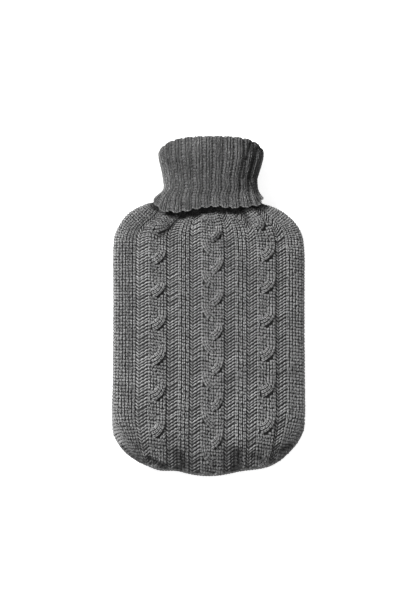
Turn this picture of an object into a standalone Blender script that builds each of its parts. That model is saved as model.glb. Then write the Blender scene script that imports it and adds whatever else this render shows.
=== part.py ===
"""Knitted hot water bottle cover, lying on its back with its face up.

Three cloth pieces, each a closed solid: a cabled front panel, a plain back panel and a
ribbed collar that is turned over once. X runs across the cover, +Y towards the neck and
+Z out of the face. The surface it lies on is z = 0, and the middle of its length is y = 0.
All sizes are in metres.
"""

import bmesh
import bpy
import numpy as np

# ---------------------------------------------------------------- driving dimensions
CLOTH = 0.0028            # thickness of the knitted cloth under its raised stitches
SEAM_HEIGHT = 0.0195      # height of the side and bottom seams above the surface
PIECE_GAP = 0.0003        # clearance between two pieces that are joined

# The filled body, from the start of its bottom corners up to the neck.
# "square" is the exponent of the section: 2 is an ellipse, more is flatter on top.
BODY_COLUMNS = ("y", "left", "right", "top", "under", "square")
BODY_SECTIONS = (
    (-0.1170, -0.1024, 0.1026, 0.0390, -0.0012, 3.2),
    (-0.0800, -0.1012, 0.1023, 0.0396, -0.0014, 3.2),
    (0.0000, -0.1006, 0.1018, 0.0400, -0.0014, 3.2),
    (0.0490, -0.1008, 0.1020, 0.0398, -0.0012, 3.2),
    (0.0704, -0.1001, 0.1005, 0.0393, -0.0006, 3.0),
    (0.0789, -0.0976, 0.0977, 0.0388, 0.0006, 2.8),
    (0.0874, -0.0933, 0.0926, 0.0382, 0.0026, 2.6),
    (0.0959, -0.0869, 0.0838, 0.0376, 0.0056, 2.4),
    (0.1002, -0.0815, 0.0774, 0.0372, 0.0070, 2.3),
    (0.1044, -0.0742, 0.0680, 0.0368, 0.0080, 2.2),
    (0.1087, -0.0636, 0.0585, 0.0363, 0.0084, 2.1),
    (0.1130, -0.0515, 0.0505, 0.0361, 0.0086, 2.1),
    (0.1180, -0.0456, 0.0478, 0.0360, 0.0086, 2.1),
)
CORNER_START_Y = BODY_SECTIONS[0][0]
NECK_Y = BODY_SECTIONS[-1][0]
BOTTOM_DEPTH = 0.0615     # the bottom edge is one broad curve of this depth
BOTTOM_EDGE_SQUARE = 2.3  # and this exponent, seen from above
BOTTOM_SAG = 0.0015       # how far its middle bellies out past that
BOTTOM_SAG_SPREAD = 0.0220
BOTTOM_ROUND_Y = -0.1080  # the body starts to round off towards its bottom seam here
BOTTOM_SQUARE = 2.8

# Wales gather towards the neck under the collar's hem, more on the left.
GATHER_Y = 0.098
GATHER_SPREAD = 0.013
GATHER_LEFT = 0.35
GATHER_RIGHT = 0.16

# The stitch chart of the front, from its left seam: its stitch, how many wales it has,
# its width on the panel and the number of faces across it.
CHART_COLUMNS = ("stitch", "wales", "width", "faces")
FRONT_CHART = (
    ("knit", 6, 0.0239, 6),
    ("purl", 3, 0.0128, 2),
    ("left_rope", 6, 0.0197, 8),
    ("purl", 3, 0.0119, 2),
    ("rib", 3, 0.0125, 2),
    ("purl", 3, 0.0117, 2),
    ("plait", 9, 0.0250, 10),
    ("purl", 3, 0.0114, 2),
    ("rib", 3, 0.0125, 2),
    ("purl", 3, 0.0106, 2),
    ("right_rope", 6, 0.0202, 8),
    ("purl", 3, 0.0112, 2),
    ("knit", 5, 0.0191, 6),
)
PANEL_WIDTH = sum(row[CHART_COLUMNS.index("width")] for row in FRONT_CHART)

# Courses of stitches are counted down the front and open out a little on the way.
FIRST_COURSE_Y = 0.0802
COURSE_PITCH = 0.00291
COURSE_GROWTH = 0.0000051
CABLE_COURSES = 11        # courses between two crossings of a cable
LEFT_ROPE_COURSE = 0
RIGHT_ROPE_COURSE = 9
PLAIT_RIGHT_COURSE = 2    # the right strand passes over the middle one
PLAIT_LEFT_COURSE = 7     # the left strand passes over the middle one
ROPE_SWING_COURSES = 3.2  # half the courses over which two strands change places
PLAIT_SWING_COURSES = 2.4

KNIT_RISE = 0.0009        # how far each stitch stands up from the purl ground
RIB_RISE = 0.0016
STRAND_RISE = 0.0022
CROSSING_RISE = 0.0017    # more on the strand that passes over, less on the one below

# Soft creases (rise below 0) and ropes (rise above 0) that show on the front.
FOLD_COLUMNS = ("x_from", "y_from", "x_to", "y_to", "half_width", "rise")
FOLDS = (
    (-0.0353, 0.0949, -0.0619, 0.0832, 0.0050, 0.0016),
    (-0.0353, 0.0906, -0.0534, 0.0768, 0.0038, -0.0018),
    (0.0354, 0.1013, 0.0444, 0.0853, 0.0035, -0.0020),
    (0.0476, 0.1010, 0.0508, 0.0850, 0.0060, 0.0014),
    (0.0136, 0.0747, 0.0051, 0.0683, 0.0032, -0.0014),
    (-0.0285, -0.1500, -0.0260, -0.1760, 0.0055, -0.0020),
    (0.0296, -0.1500, 0.0280, -0.1760, 0.0055, -0.0018),
    (-0.0600, -0.1560, -0.0450, -0.1700, 0.0045, -0.0018),
    (-0.0670, -0.1680, -0.0400, -0.1740, 0.0035, 0.0012),
    (0.0760, -0.1560, 0.0820, -0.1640, 0.0035, -0.0014),
)

FRONT_COURSE_FACES = 54   # faces along the front panel
BOTTOM_FACES = 14         # of them, in the rounded stretch above the bottom seam
BACK_FACES_ACROSS = 24
BACK_FACES_ALONG = 24
BACK_BOTTOM_FACES = 8

# The collar's outer face; "gap" is the space between its two layers.
COLLAR_COLUMNS = ("y", "left", "right", "front", "back", "square", "gap")
COLLAR_SECTIONS = (
    (0.0980, -0.0680, 0.0690, 0.0462, -0.0005, 2.9, 0.0080),
    (0.1060, -0.0640, 0.0650, 0.0456, -0.0005, 2.8, 0.0070),
    (0.1130, -0.0596, 0.0602, 0.0448, -0.0004, 2.6, 0.0060),
    (0.1172, -0.0552, 0.0564, 0.0440, -0.0002, 2.4, 0.0040),
    (0.1215, -0.0500, 0.0538, 0.0434, 0.0004, 2.3, 0.0022),
    (0.1257, -0.0476, 0.0526, 0.0430, 0.0008, 2.3, 0.0014),
    (0.1342, -0.0484, 0.0522, 0.0430, 0.0008, 2.3, 0.0012),
    (0.1427, -0.0497, 0.0544, 0.0434, 0.0004, 2.3, 0.0012),
    (0.1512, -0.0517, 0.0569, 0.0442, -0.0002, 2.3, 0.0012),
    (0.1600, -0.0533, 0.0587, 0.0450, -0.0005, 2.3, 0.0012),
    (0.1800, -0.0535, 0.0589, 0.0450, -0.0005, 2.3, 0.0012),
)
RIB_COUNT = 24            # ribs round the collar, of three knit wales and a purl wale
RIB_POINTS = 4
RIB_DEPTH = 0.0007        # a rib's ridge stands this far out and its groove this far in
HEM_SCALLOP = 0.0006
FOLD_TOP_Y = 0.1766       # centre of the turned edge at the middle of the front
FOLD_ARCH = 0.0060        # how far the turned edge drops towards the sides
FOLD_CORNER_DROP = 0.0066
FOLD_LEFT_DROP = 0.0012   # the left end of the turned edge sits a little lower

# The collar's hem across its front; it rises at the sides to clear the shoulders.
HEM_COLUMNS = ("x", "y")
FRONT_HEM = (
    (-0.0597, 0.1045),
    (-0.0534, 0.1023),
    (-0.0438, 0.1002),
    (-0.0342, 0.0992),
    (-0.0247, 0.1002),
    (-0.0151, 0.1023),
    (-0.0061, 0.1040),
    (0.0083, 0.1055),
    (0.0221, 0.1040),
    (0.0412, 0.1050),
    (0.0604, 0.1064),
)
BACK_HEM_Y = 0.1085
SIDE_HEM_Y = 0.1158
FRONT_HEM_TURN = 0.62     # how far round from the sides the hem starts to rise to them
BACK_HEM_TURN = 0.92

# ---------------------------------------------------------------- smooth tables


def column(rows, columns, name):
    """One named column of a table, as an array."""
    return np.array([row[columns.index(name)] for row in rows], float)


def smooth_between(xs, values, at):
    """A curve through the points of a table that never overshoots them."""
    step = np.diff(xs)
    slope = np.diff(values) / step
    tangent = np.zeros(len(xs))
    tangent[0], tangent[-1] = slope[0], slope[-1]
    same_way = slope[:-1] * slope[1:] > 0
    mean = 2 * slope[:-1] * slope[1:] / np.where(same_way, slope[:-1] + slope[1:], 1)
    tangent[1:-1] = np.where(same_way, mean, 0)
    at = np.clip(at, xs[0], xs[-1])
    i = np.clip(np.searchsorted(xs, at, side="right") - 1, 0, len(step) - 1)
    t = (at - xs[i]) / step[i]
    return (
        (2 * t**3 - 3 * t**2 + 1) * values[i]
        + (t**3 - 2 * t**2 + t) * step[i] * tangent[i]
        + (3 * t**2 - 2 * t**3) * values[i + 1]
        + (t**3 - t**2) * step[i] * tangent[i + 1]
    )


def body_at(name, y):
    """A named size of the body's section at a height y up the body."""
    ys = column(BODY_SECTIONS, BODY_COLUMNS, "y")
    return smooth_between(ys, column(BODY_SECTIONS, BODY_COLUMNS, name), y)


def collar_at(name, y):
    """A named size of the collar's section at a height y."""
    ys = column(COLLAR_SECTIONS, COLLAR_COLUMNS, "y")
    return smooth_between(ys, column(COLLAR_SECTIONS, COLLAR_COLUMNS, name), y)


def soft_step(t):
    """0 below 0, 1 above 1 and smooth between."""
    t = np.clip(t, 0, 1)
    return t * t * (3 - 2 * t)


# ---------------------------------------------------------------- front panel's relief


def course_at(y):
    """The course of stitches at a height y, counted down from FIRST_COURSE_Y."""
    drop = FIRST_COURSE_Y - y
    root = np.sqrt(np.maximum(COURSE_PITCH**2 + 4 * COURSE_GROWTH * drop, 0))
    return (root - COURSE_PITCH) / (2 * COURSE_GROWTH)


def strand(u, centre, half_width, rise):
    """A round strand of knit wales across a cable; u is 0 to 1 across it."""
    return rise * np.sqrt(np.clip(1 - ((u - centre) / half_width) ** 2, 0, 1))


def crossing(course, first, period, swing_courses):
    """Courses from the nearest crossing, the strands' swing (-1 to 1) and its closeness."""
    away = (course - first + period / 2) % period - period / 2
    swing = np.sin(np.clip(away / swing_courses, -1, 1) * np.pi / 2)
    return away, swing, np.exp(-((away / swing_courses) ** 2) * 2)


def rope_rise(u, course, first):
    """A rope cable: two strands, the right one always passing over to the lower left."""
    _, swing, close = crossing(course, first, CABLE_COURSES, ROPE_SWING_COURSES)
    over = strand(u, 0.5 - 0.24 * swing, 0.27, STRAND_RISE + CROSSING_RISE * close)
    below = strand(u, 0.5 + 0.24 * swing, 0.27, STRAND_RISE - CROSSING_RISE * close)
    return np.maximum(over, below)


def plait_rise(u, course):
    """A plait of three strands: right over middle, then left over middle, and so on."""
    right = crossing(course, PLAIT_RIGHT_COURSE, CABLE_COURSES, PLAIT_SWING_COURSES)
    left = crossing(course, PLAIT_LEFT_COURSE, CABLE_COURSES, PLAIT_SWING_COURSES)
    on_right = abs(right[0]) < abs(left[0])
    side = np.where(on_right, 1, -1)
    swing = np.where(on_right, right[1], left[1])
    close = np.where(on_right, right[2], left[2])
    over = 0.5 + 0.16 * side * (1 - swing)
    below = 0.5 + 0.16 * side * (1 + swing)
    return np.maximum.reduce(
        [
            strand(u, over, 0.18, STRAND_RISE + CROSSING_RISE * close),
            strand(u, below, 0.18, STRAND_RISE - CROSSING_RISE * close),
            strand(u, 0.5 - 0.32 * side, 0.18, STRAND_RISE),
        ]
    )


def stitch_rise(across, course):
    """How far the front stands up from its purl ground, across metres from its left seam."""
    rise = np.zeros(np.broadcast(across, course).shape)
    start = 0.0
    for stitch, _, width, _ in FRONT_CHART:
        u = (across - start) / width
        inside = (u >= 0) & (u <= 1)
        shape = {
            "knit": KNIT_RISE * soft_step(np.minimum(u, 1 - u) * 8 + 0.2),
            "purl": 0 * u,
            "rib": RIB_RISE * np.sqrt(np.clip(1 - (2 * u - 1) ** 2 * 0.9, 0, 1)),
            "left_rope": rope_rise(u, course, LEFT_ROPE_COURSE),
            "right_rope": rope_rise(u, course, RIGHT_ROPE_COURSE),
            "plait": plait_rise(u, course),
        }[stitch]
        rise = np.where(inside, np.maximum(rise, shape), rise)
        start += width
    return rise


def fold_rise(x, y):
    """The soft creases and ropes of FOLDS at a place on the front."""
    rise = np.zeros(np.shape(x))
    for x_from, y_from, x_to, y_to, half_width, height in FOLDS:
        run = np.array([x_to - x_from, y_to - y_from])
        t = ((x - x_from) * run[0] + (y - y_from) * run[1]) / (run @ run)
        t = np.clip(t, 0, 1)
        away = np.hypot(x - x_from - t * run[0], y - y_from - t * run[1])
        rise = rise + height * np.exp(-((away / half_width) ** 2))
    return rise


# ---------------------------------------------------------------- the body's form


def section_height(q, square):
    """How high a section stands at q, as a share of its height in the middle."""
    return np.maximum(1 - np.abs(q) ** square, 0) ** (1 / square)


def bottom_edge(x):
    """The y of the bottom seam at x: round corners and a middle that bellies out."""
    left, right = body_at("left", CORNER_START_Y), body_at("right", CORNER_START_Y)
    q = np.clip((2 * x - left - right) / (right - left), -1, 1)
    depth = BOTTOM_DEPTH * section_height(q, BOTTOM_EDGE_SQUARE)
    return CORNER_START_Y - depth - BOTTOM_SAG * np.exp(-((x / BOTTOM_SAG_SPREAD) ** 2))


def gathered(q, y):
    """A wale's place across its section (-1 to 1): drawn in under the collar's hem."""
    near_hem = np.exp(-(((y - GATHER_Y) / GATHER_SPREAD) ** 2))
    amount = np.where(q < 0, GATHER_LEFT, GATHER_RIGHT)
    return q * (1 - amount * (1 - q * q) * near_hem)


def body_surface(q, t, bottom_share, inset, front, relief):
    """Points of one face of the front or back panel; q runs across and t up from the seam."""
    edge_x = body_at("left", CORNER_START_Y) * (1 - q) / 2
    edge_x = edge_x + body_at("right", CORNER_START_Y) * (1 + q) / 2
    seam_y = bottom_edge(edge_x) + inset
    low = np.clip(t / bottom_share, 0, 1)
    high = np.clip((t - bottom_share) / (1 - bottom_share), 0, 1)
    y = seam_y + (BOTTOM_ROUND_Y - seam_y) * low**1.6
    y = y + (NECK_Y - BOTTOM_ROUND_Y) * high
    place = gathered(q, y)
    left, right = body_at("left", y) + inset, body_at("right", y) - inset
    x = left * (1 - place) / 2 + right * (1 + place) / 2
    round_off = np.clip((BOTTOM_ROUND_Y - y) / (BOTTOM_ROUND_Y - seam_y), 0, 1)
    share = section_height(place, body_at("square", y))
    share = share * section_height(round_off, BOTTOM_SQUARE)
    if front:
        seam_z = SEAM_HEIGHT + PIECE_GAP / 2
        z = seam_z + (body_at("top", y) - inset - seam_z) * share
    else:
        seam_z = SEAM_HEIGHT - PIECE_GAP / 2
        z = seam_z - (seam_z - body_at("under", y) - inset) * share
        z = np.maximum(z, inset)
    if relief:
        raised = stitch_rise((q + 1) / 2 * PANEL_WIDTH, course_at(y)) + fold_rise(x, y)
        z = z + raised * soft_step(share / 0.8) * soft_step((NECK_Y - y) / 0.01)
    return np.stack([x, y, z], axis=-1)


def chart_places():
    """Where the front's faces meet across it, as q from -1 to 1, finer at the two seams."""
    places = [0.0]
    last = len(FRONT_CHART) - 1
    for k, (_, _, width, faces) in enumerate(FRONT_CHART):
        share = np.arange(1, faces + 1) / faces
        if k == 0:
            share = share**2
        if k == last:
            share = 1 - (1 - share) ** 2
        places += list(places[-1] + width * share)
    return np.array(places) / PANEL_WIDTH * 2 - 1


# ---------------------------------------------------------------- solids


def link(name, mesh_data, material):
    """Closes a bmesh into a smooth-shaded object with its faces pointing out."""
    bmesh.ops.recalc_face_normals(mesh_data, faces=mesh_data.faces)
    mesh = bpy.data.meshes.new(name)
    mesh_data.to_mesh(mesh)
    mesh_data.free()
    mesh.shade_smooth()
    mesh.set_sharp_from_angle(angle=np.radians(50))
    mesh.materials.append(material)
    solid = bpy.data.objects.new(name, mesh)
    bpy.context.scene.collection.objects.link(solid)
    return solid


def add_points(mesh_data, points):
    """One vertex for each row of an array of points, as a list."""
    return [mesh_data.verts.new(p) for p in points]


def join_strips(mesh_data, fine, coarse):
    """Faces between two open strips of vertices, of equal count or two to one."""
    if len(fine) == len(coarse):
        for k in range(len(fine) - 1):
            mesh_data.faces.new((fine[k], fine[k + 1], coarse[k + 1], coarse[k]))
        return
    for k in range(len(coarse) - 1):
        a, b, c = fine[2 * k : 2 * k + 3]
        mesh_data.faces.new((a, b, coarse[k]))
        mesh_data.faces.new((b, coarse[k + 1], coarse[k]))
        mesh_data.faces.new((b, c, coarse[k + 1]))


def panel_solid(name, outer, inner, material):
    """A sheet between two grids of points; the inner one has half as many faces each way."""
    data = bmesh.new()
    rims = []
    for grid in (outer, inner):
        rows = [add_points(data, row) for row in grid]
        for low, high in zip(rows, rows[1:]):
            join_strips(data, low, high)
        right = [row[-1] for row in rows]
        left = [row[0] for row in rows]
        rims.append(rows[0] + right[1:] + rows[-1][-2::-1] + left[-2::-1])
    join_strips(data, rims[0], rims[1])
    return link(name, data, material)


def front_panel(material):
    """The cabled front: a sheet that wraps to the side and bottom seams."""
    q = chart_places()
    t = np.linspace(0, 1, FRONT_COURSE_FACES + 1)
    share = BOTTOM_FACES / FRONT_COURSE_FACES
    outer = body_surface(q[None, :], t[:, None], share, 0.0, True, True)
    inner = body_surface(q[None, ::2], t[::2, None], share, CLOTH, True, False)
    return panel_solid("front_panel", outer, inner, material)


def back_panel(material):
    """The plain back: flat where it lies, and turned up to the seams."""
    spread = np.linspace(-1, 1, BACK_FACES_ACROSS + 1)
    q = np.sin(spread * np.pi / 2)
    t = np.linspace(0, 1, BACK_FACES_ALONG + 1)
    share = BACK_BOTTOM_FACES / BACK_FACES_ALONG
    outer = body_surface(q[None, :], t[:, None], share, 0.0, False, False)
    inner = body_surface(q[None, ::2], t[::2, None], share, CLOTH, False, False)
    return panel_solid("back_panel", outer, inner, material)


# ---------------------------------------------------------------- the collar


def ring_directions(count):
    """Angles that space points evenly round the collar's waist section."""
    angle = np.linspace(0, 2 * np.pi, 1441)
    loop = section_loop(angle, COLLAR_SECTIONS[5][0], 0.0)
    length = np.concatenate(
        [[0], np.cumsum(np.linalg.norm(np.diff(loop, axis=0), axis=1))]
    )
    return np.interp(np.arange(count) / count * length[-1], length, angle)


def section_loop(angle, y, inset):
    """Points of the collar's section at height y, drawn in by inset all round."""
    left, right = collar_at("left", y) + inset, collar_at("right", y) - inset
    front, back = collar_at("front", y) - inset, collar_at("back", y) + inset
    power = 2 / collar_at("square", y)
    cos, sin = np.cos(angle), np.sin(angle)
    x = (left + right) / 2 + (right - left) / 2 * np.sign(cos) * np.abs(cos) ** power
    z = (front + back) / 2 + (front - back) / 2 * np.sign(sin) * np.abs(sin) ** power
    return np.stack([x, np.broadcast_to(y, x.shape), z], axis=-1)


def hem_line(angle):
    """The y of the collar's hem at each angle."""
    x = section_loop(angle, COLLAR_SECTIONS[1][0], 0.0)[:, 0]
    hem_x = column(FRONT_HEM, HEM_COLUMNS, "x")
    front = smooth_between(hem_x, column(FRONT_HEM, HEM_COLUMNS, "y"), x)
    in_front = np.sin(angle) > 0
    y = np.where(in_front, front, BACK_HEM_Y)
    turn = np.where(in_front, FRONT_HEM_TURN, BACK_HEM_TURN)
    to_side = soft_step(1 - np.abs(np.sin(angle)) / turn)
    return y + (SIDE_HEM_Y - y) * to_side


def turned_edge(angle):
    """The y of the middle of the collar's turned edge at each angle."""
    side = np.cos(angle)
    y = FOLD_TOP_Y - FOLD_ARCH * side**2 - FOLD_CORNER_DROP * side**8
    return y - FOLD_LEFT_DROP * np.clip(-side, 0, 1)


def rib_profile(count):
    """Out on a rib's ridge and in on its groove, for points round the collar."""
    return np.where(np.arange(count) % RIB_POINTS < RIB_POINTS / 2, 1.0, -1.0)


def collar(material):
    """A ribbed tube that rises from the neck, turns over at the top and hangs outside."""
    count = RIB_COUNT * RIB_POINTS
    fine = ring_directions(count)
    coarse = fine[::2]
    ribs = rib_profile(count) * RIB_DEPTH
    data = bmesh.new()
    rings = []

    def layer(angle, share, low, high, inset, ridges):
        y = low + (high - low) * share
        loop = section_loop(angle, y, inset - ridges)
        loop[:, 2] = np.maximum(loop[:, 2], 0)
        rings.append(add_points(data, loop))

    def turn(angle, radius, tilt, ridges):
        centre = turned_edge(angle)
        y = centre + (radius + ridges) * np.sin(tilt)
        middle = CLOTH + collar_at("gap", centre) / 2
        loop = section_loop(angle, y, middle - (radius + ridges) * np.cos(tilt))
        loop[:, 2] = np.maximum(loop[:, 2], 0)
        rings.append(add_points(data, loop))

    hem = hem_line(fine) - ribs / RIB_DEPTH * HEM_SCALLOP
    fold = turned_edge(fine)
    gap = collar_at("gap", turned_edge(coarse))
    for share in np.linspace(0, 1, 12):
        layer(fine, share, hem, fold, 0.0, ribs)
    for tilt in np.radians((40, 90, 140)):
        turn(fine, CLOTH + COLLAR_SECTIONS[-1][-1] / 2, tilt, ribs * np.sin(tilt))
    neck = NECK_Y + PIECE_GAP
    hem, fold = hem[::2], fold[::2]
    for share in np.linspace(1, 0, 6):
        y = neck + (fold - neck) * share
        layer(coarse, share, neck, fold, 2 * CLOTH + collar_at("gap", y), 0.0)
    for share in np.linspace(0, 1, 5):
        y = neck + (fold - neck) * share
        layer(coarse, share, neck, fold, CLOTH + collar_at("gap", y), 0.0)
    turn(coarse, gap / 2, np.radians(90), 0.0)
    for share in np.linspace(1, 0, 6):
        layer(coarse, share, hem, fold, CLOTH, 0.0)

    for ring, following in zip(rings, rings[1:] + rings[:1]):
        first, second = sorted((ring, following), key=len, reverse=True)
        join_strips(data, first + first[:1], second + second[:1])
    return link("collar", data, material)


# ---------------------------------------------------------------- materials and scene


def knit_material(name, grey, roughness):
    """A matt grey yarn."""
    material = bpy.data.materials.new(name)
    material.use_nodes = True
    surface = material.node_tree.nodes["Principled BSDF"]
    surface.inputs["Base Color"].default_value = (grey, grey, grey, 1.0)
    surface.inputs["Roughness"].default_value = roughness
    surface.inputs["Metallic"].default_value = 0.0
    return material


def main():
    for item in list(bpy.data.objects):
        bpy.data.objects.remove(item, do_unlink=True)
    front_panel(knit_material("cabled_knit", 0.13, 0.9))
    back_panel(knit_material("plain_knit", 0.12, 0.9))
    collar(knit_material("ribbed_knit", 0.11, 0.9))


main()
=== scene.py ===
import bpy
import numpy as np
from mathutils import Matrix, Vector


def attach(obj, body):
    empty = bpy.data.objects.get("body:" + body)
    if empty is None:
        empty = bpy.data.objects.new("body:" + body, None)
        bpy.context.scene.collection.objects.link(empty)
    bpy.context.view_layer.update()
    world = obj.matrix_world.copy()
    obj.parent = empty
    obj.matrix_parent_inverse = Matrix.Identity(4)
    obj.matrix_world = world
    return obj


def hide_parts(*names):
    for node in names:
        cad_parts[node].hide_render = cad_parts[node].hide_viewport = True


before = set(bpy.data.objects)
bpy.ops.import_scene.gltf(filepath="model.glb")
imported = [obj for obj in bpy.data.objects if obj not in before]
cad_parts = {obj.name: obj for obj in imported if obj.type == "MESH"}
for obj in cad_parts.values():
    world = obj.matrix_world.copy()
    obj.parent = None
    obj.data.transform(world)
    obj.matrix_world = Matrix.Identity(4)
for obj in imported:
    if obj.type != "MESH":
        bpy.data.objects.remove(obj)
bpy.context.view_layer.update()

random = np.random.default_rng(7)

# %% [markdown]
# ## The view
# The cover lies on its back and the photograph looks straight down on its face. A long
# lens keeps the sides upright, as there. The camera comes first, so that every later
# step can be looked at.
# %% Camera
PIXEL = 0.001063               # metres on the object for each pixel of the photograph
FRAME_HEIGHT = 600 * PIXEL
LENS = 0.085                   # its length, in metres
SENSOR = 0.036
SIDE_HEIGHT = 0.022            # the outline seen from above is about this high
VIEW_CENTRE = (-0.0087, 0.0066)

camera = bpy.data.objects.new("camera", bpy.data.cameras.new("camera"))
camera.data.lens = LENS * 1000
camera.data.sensor_width = SENSOR * 1000
distance = FRAME_HEIGHT * LENS / SENSOR
camera.location = (*VIEW_CENTRE, SIDE_HEIGHT + distance)
bpy.context.scene.collection.objects.link(camera)
bpy.context.scene.camera = camera
print(f"camera {distance:.3f} m above the cover")

# %% [markdown]
# ## Floor and light
# The photograph is a studio picture on plain white, lit softly from the upper left. One
# disc lamp gives that side light, a weak one lifts the other side, and the white world
# fills the rest. A low key light brings out the relief of the knitting, which an even
# light from above would flatten.
# %% Floor
bpy.ops.object.select_all(action="DESELECT")
bpy.ops.mesh.primitive_plane_add(size=6.0, location=(0, 0, 0))
floor = bpy.context.object
floor.name = "floor"
paper = bpy.data.materials.new("white_paper")
paper.use_nodes = True
paper_look = paper.node_tree.nodes["Principled BSDF"].inputs
paper_look["Base Color"].default_value = (0.93, 0.93, 0.93, 1)
paper_look["Roughness"].default_value = 0.9
paper_look["Emission Color"].default_value = (1, 1, 1, 1)
paper_look["Emission Strength"].default_value = 0.70
floor.data.materials.append(paper)

# %% Lamps
LAMPS = (                      # name, place, size and watts
    ("key", (-1.10, 0.92, 1.12), 0.50, 54.0),
    ("fill", (1.20, -0.60, 1.60), 1.60, 4.0),
)
for name, place, size, watts in LAMPS:
    lamp = bpy.data.lights.new(name, "AREA")
    lamp.shape, lamp.size, lamp.energy = "DISK", size, watts
    lamp_object = bpy.data.objects.new(name, lamp)
    lamp_object.location = place
    lamp_object.rotation_euler = (-Vector(place)).to_track_quat("-Z", "Y").to_euler()
    bpy.context.scene.collection.objects.link(lamp_object)

world = bpy.data.worlds.new("studio")
bpy.context.scene.world = world
world.use_nodes = True
sky = world.node_tree.nodes["Background"].inputs
sky["Color"].default_value = (1, 1, 1, 1)
sky["Strength"].default_value = 0.36
bpy.context.scene.view_settings.view_transform = "Standard"
print("lamps:", [row[0] for row in LAMPS])

# %% [markdown]
# ## Helpers
# Each piece here is a mesh made from arrays of points, because the stitches number
# thousands and follow a curved form. `mesh_object` turns arrays into an object, and
# `fit_out` brings it into the frame: it rides on the part's one body and takes a finish.
# %% Mesh helpers


def soft_step(t):
    """0 below 0, 1 above 1 and smooth between."""
    t = np.clip(t, 0, 1)
    return t * t * (3 - 2 * t)


def mesh_object(name, points, quads, triangles=None, yarn_uv=None, painted_shade=None):
    """An object from arrays: points, four-sided and three-sided faces, and a yarn UV map.

    The painted shade is 1 where a point of the yarn lies deep between its neighbours, and darkens
    it there.
    """
    triangles = np.zeros((0, 3), int) if triangles is None else triangles
    a, b, c, d = (points[quads[:, k]] for k in range(4))
    volume = (a * np.cross(b, c) + a * np.cross(c, d)).sum()
    if volume < 0:             # the net ran the other way round, so every face is turned
        quads, triangles = quads[:, ::-1], triangles[:, ::-1]
        if yarn_uv is not None:
            split = quads.size
            yarn_uv = np.concatenate(
                [yarn_uv[:split].reshape(-1, 4, 2)[:, ::-1].reshape(-1, 2),
                 yarn_uv[split:].reshape(-1, 3, 2)[:, ::-1].reshape(-1, 2)]
            )
    corners = np.concatenate([quads.ravel(), triangles.ravel()])
    starts = np.concatenate(
        [np.arange(len(quads)) * 4, quads.size + np.arange(len(triangles)) * 3]
    )
    mesh = bpy.data.meshes.new(name)
    mesh.vertices.add(len(points))
    mesh.vertices.foreach_set("co", points.astype(np.float32).ravel())
    mesh.loops.add(len(corners))
    mesh.loops.foreach_set("vertex_index", corners.astype(np.int32))
    mesh.polygons.add(len(starts))
    mesh.polygons.foreach_set("loop_start", starts.astype(np.int32))
    if yarn_uv is not None:
        layer = mesh.uv_layers.new(name="yarn")
        layer.data.foreach_set("uv", yarn_uv.astype(np.float32).ravel())
    # painted shade: darkness painted into each point of the yarn, which the wool reads
    if painted_shade is not None:
        layer = mesh.attributes.new("painted_shade", "FLOAT", "POINT")
        layer.data.foreach_set("value", painted_shade.astype(np.float32))
    mesh.update(calc_edges=True)
    mesh.validate()
    mesh.shade_smooth()
    piece = bpy.data.objects.new(name, mesh)
    bpy.context.scene.collection.objects.link(piece)
    print(f"{name}: {len(quads) * 2 + len(triangles)} triangles")
    return piece


def fit_out(piece, material):
    """The piece gets its finish and rides on the part's one body."""
    piece.data.materials.append(material)
    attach(piece, "root")


# %% [markdown]
# ## Wool
# The yarn is a mid grey melange: light and dark fibres spun together, so its colour
# changes every half millimetre, and its plies twist round it. Fibres scatter the light,
# so it is rough and has a faint sheen. The plies follow the yarn's own UV map, and the
# melange reads Object coordinates, so it has the same scale on every piece.
# %% Node helpers


def add_node(tree, kind, **settings):
    """A node with its properties and, by name, its inputs set."""
    node = tree.nodes.new(kind)
    for key, value in settings.items():
        if hasattr(node, key):
            setattr(node, key, value)
        else:
            node.inputs[key.replace("_", " ")].default_value = value
    return node


def mix_factor(tree, kind, first, second):
    """A Math node between two sockets or numbers."""
    node = add_node(tree, "ShaderNodeMath", operation=kind)
    for socket, value in zip(node.inputs, (first, second)):
        if isinstance(value, (int, float)):
            socket.default_value = value
        else:
            tree.links.new(value, socket)
    return node.outputs[0]


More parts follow.
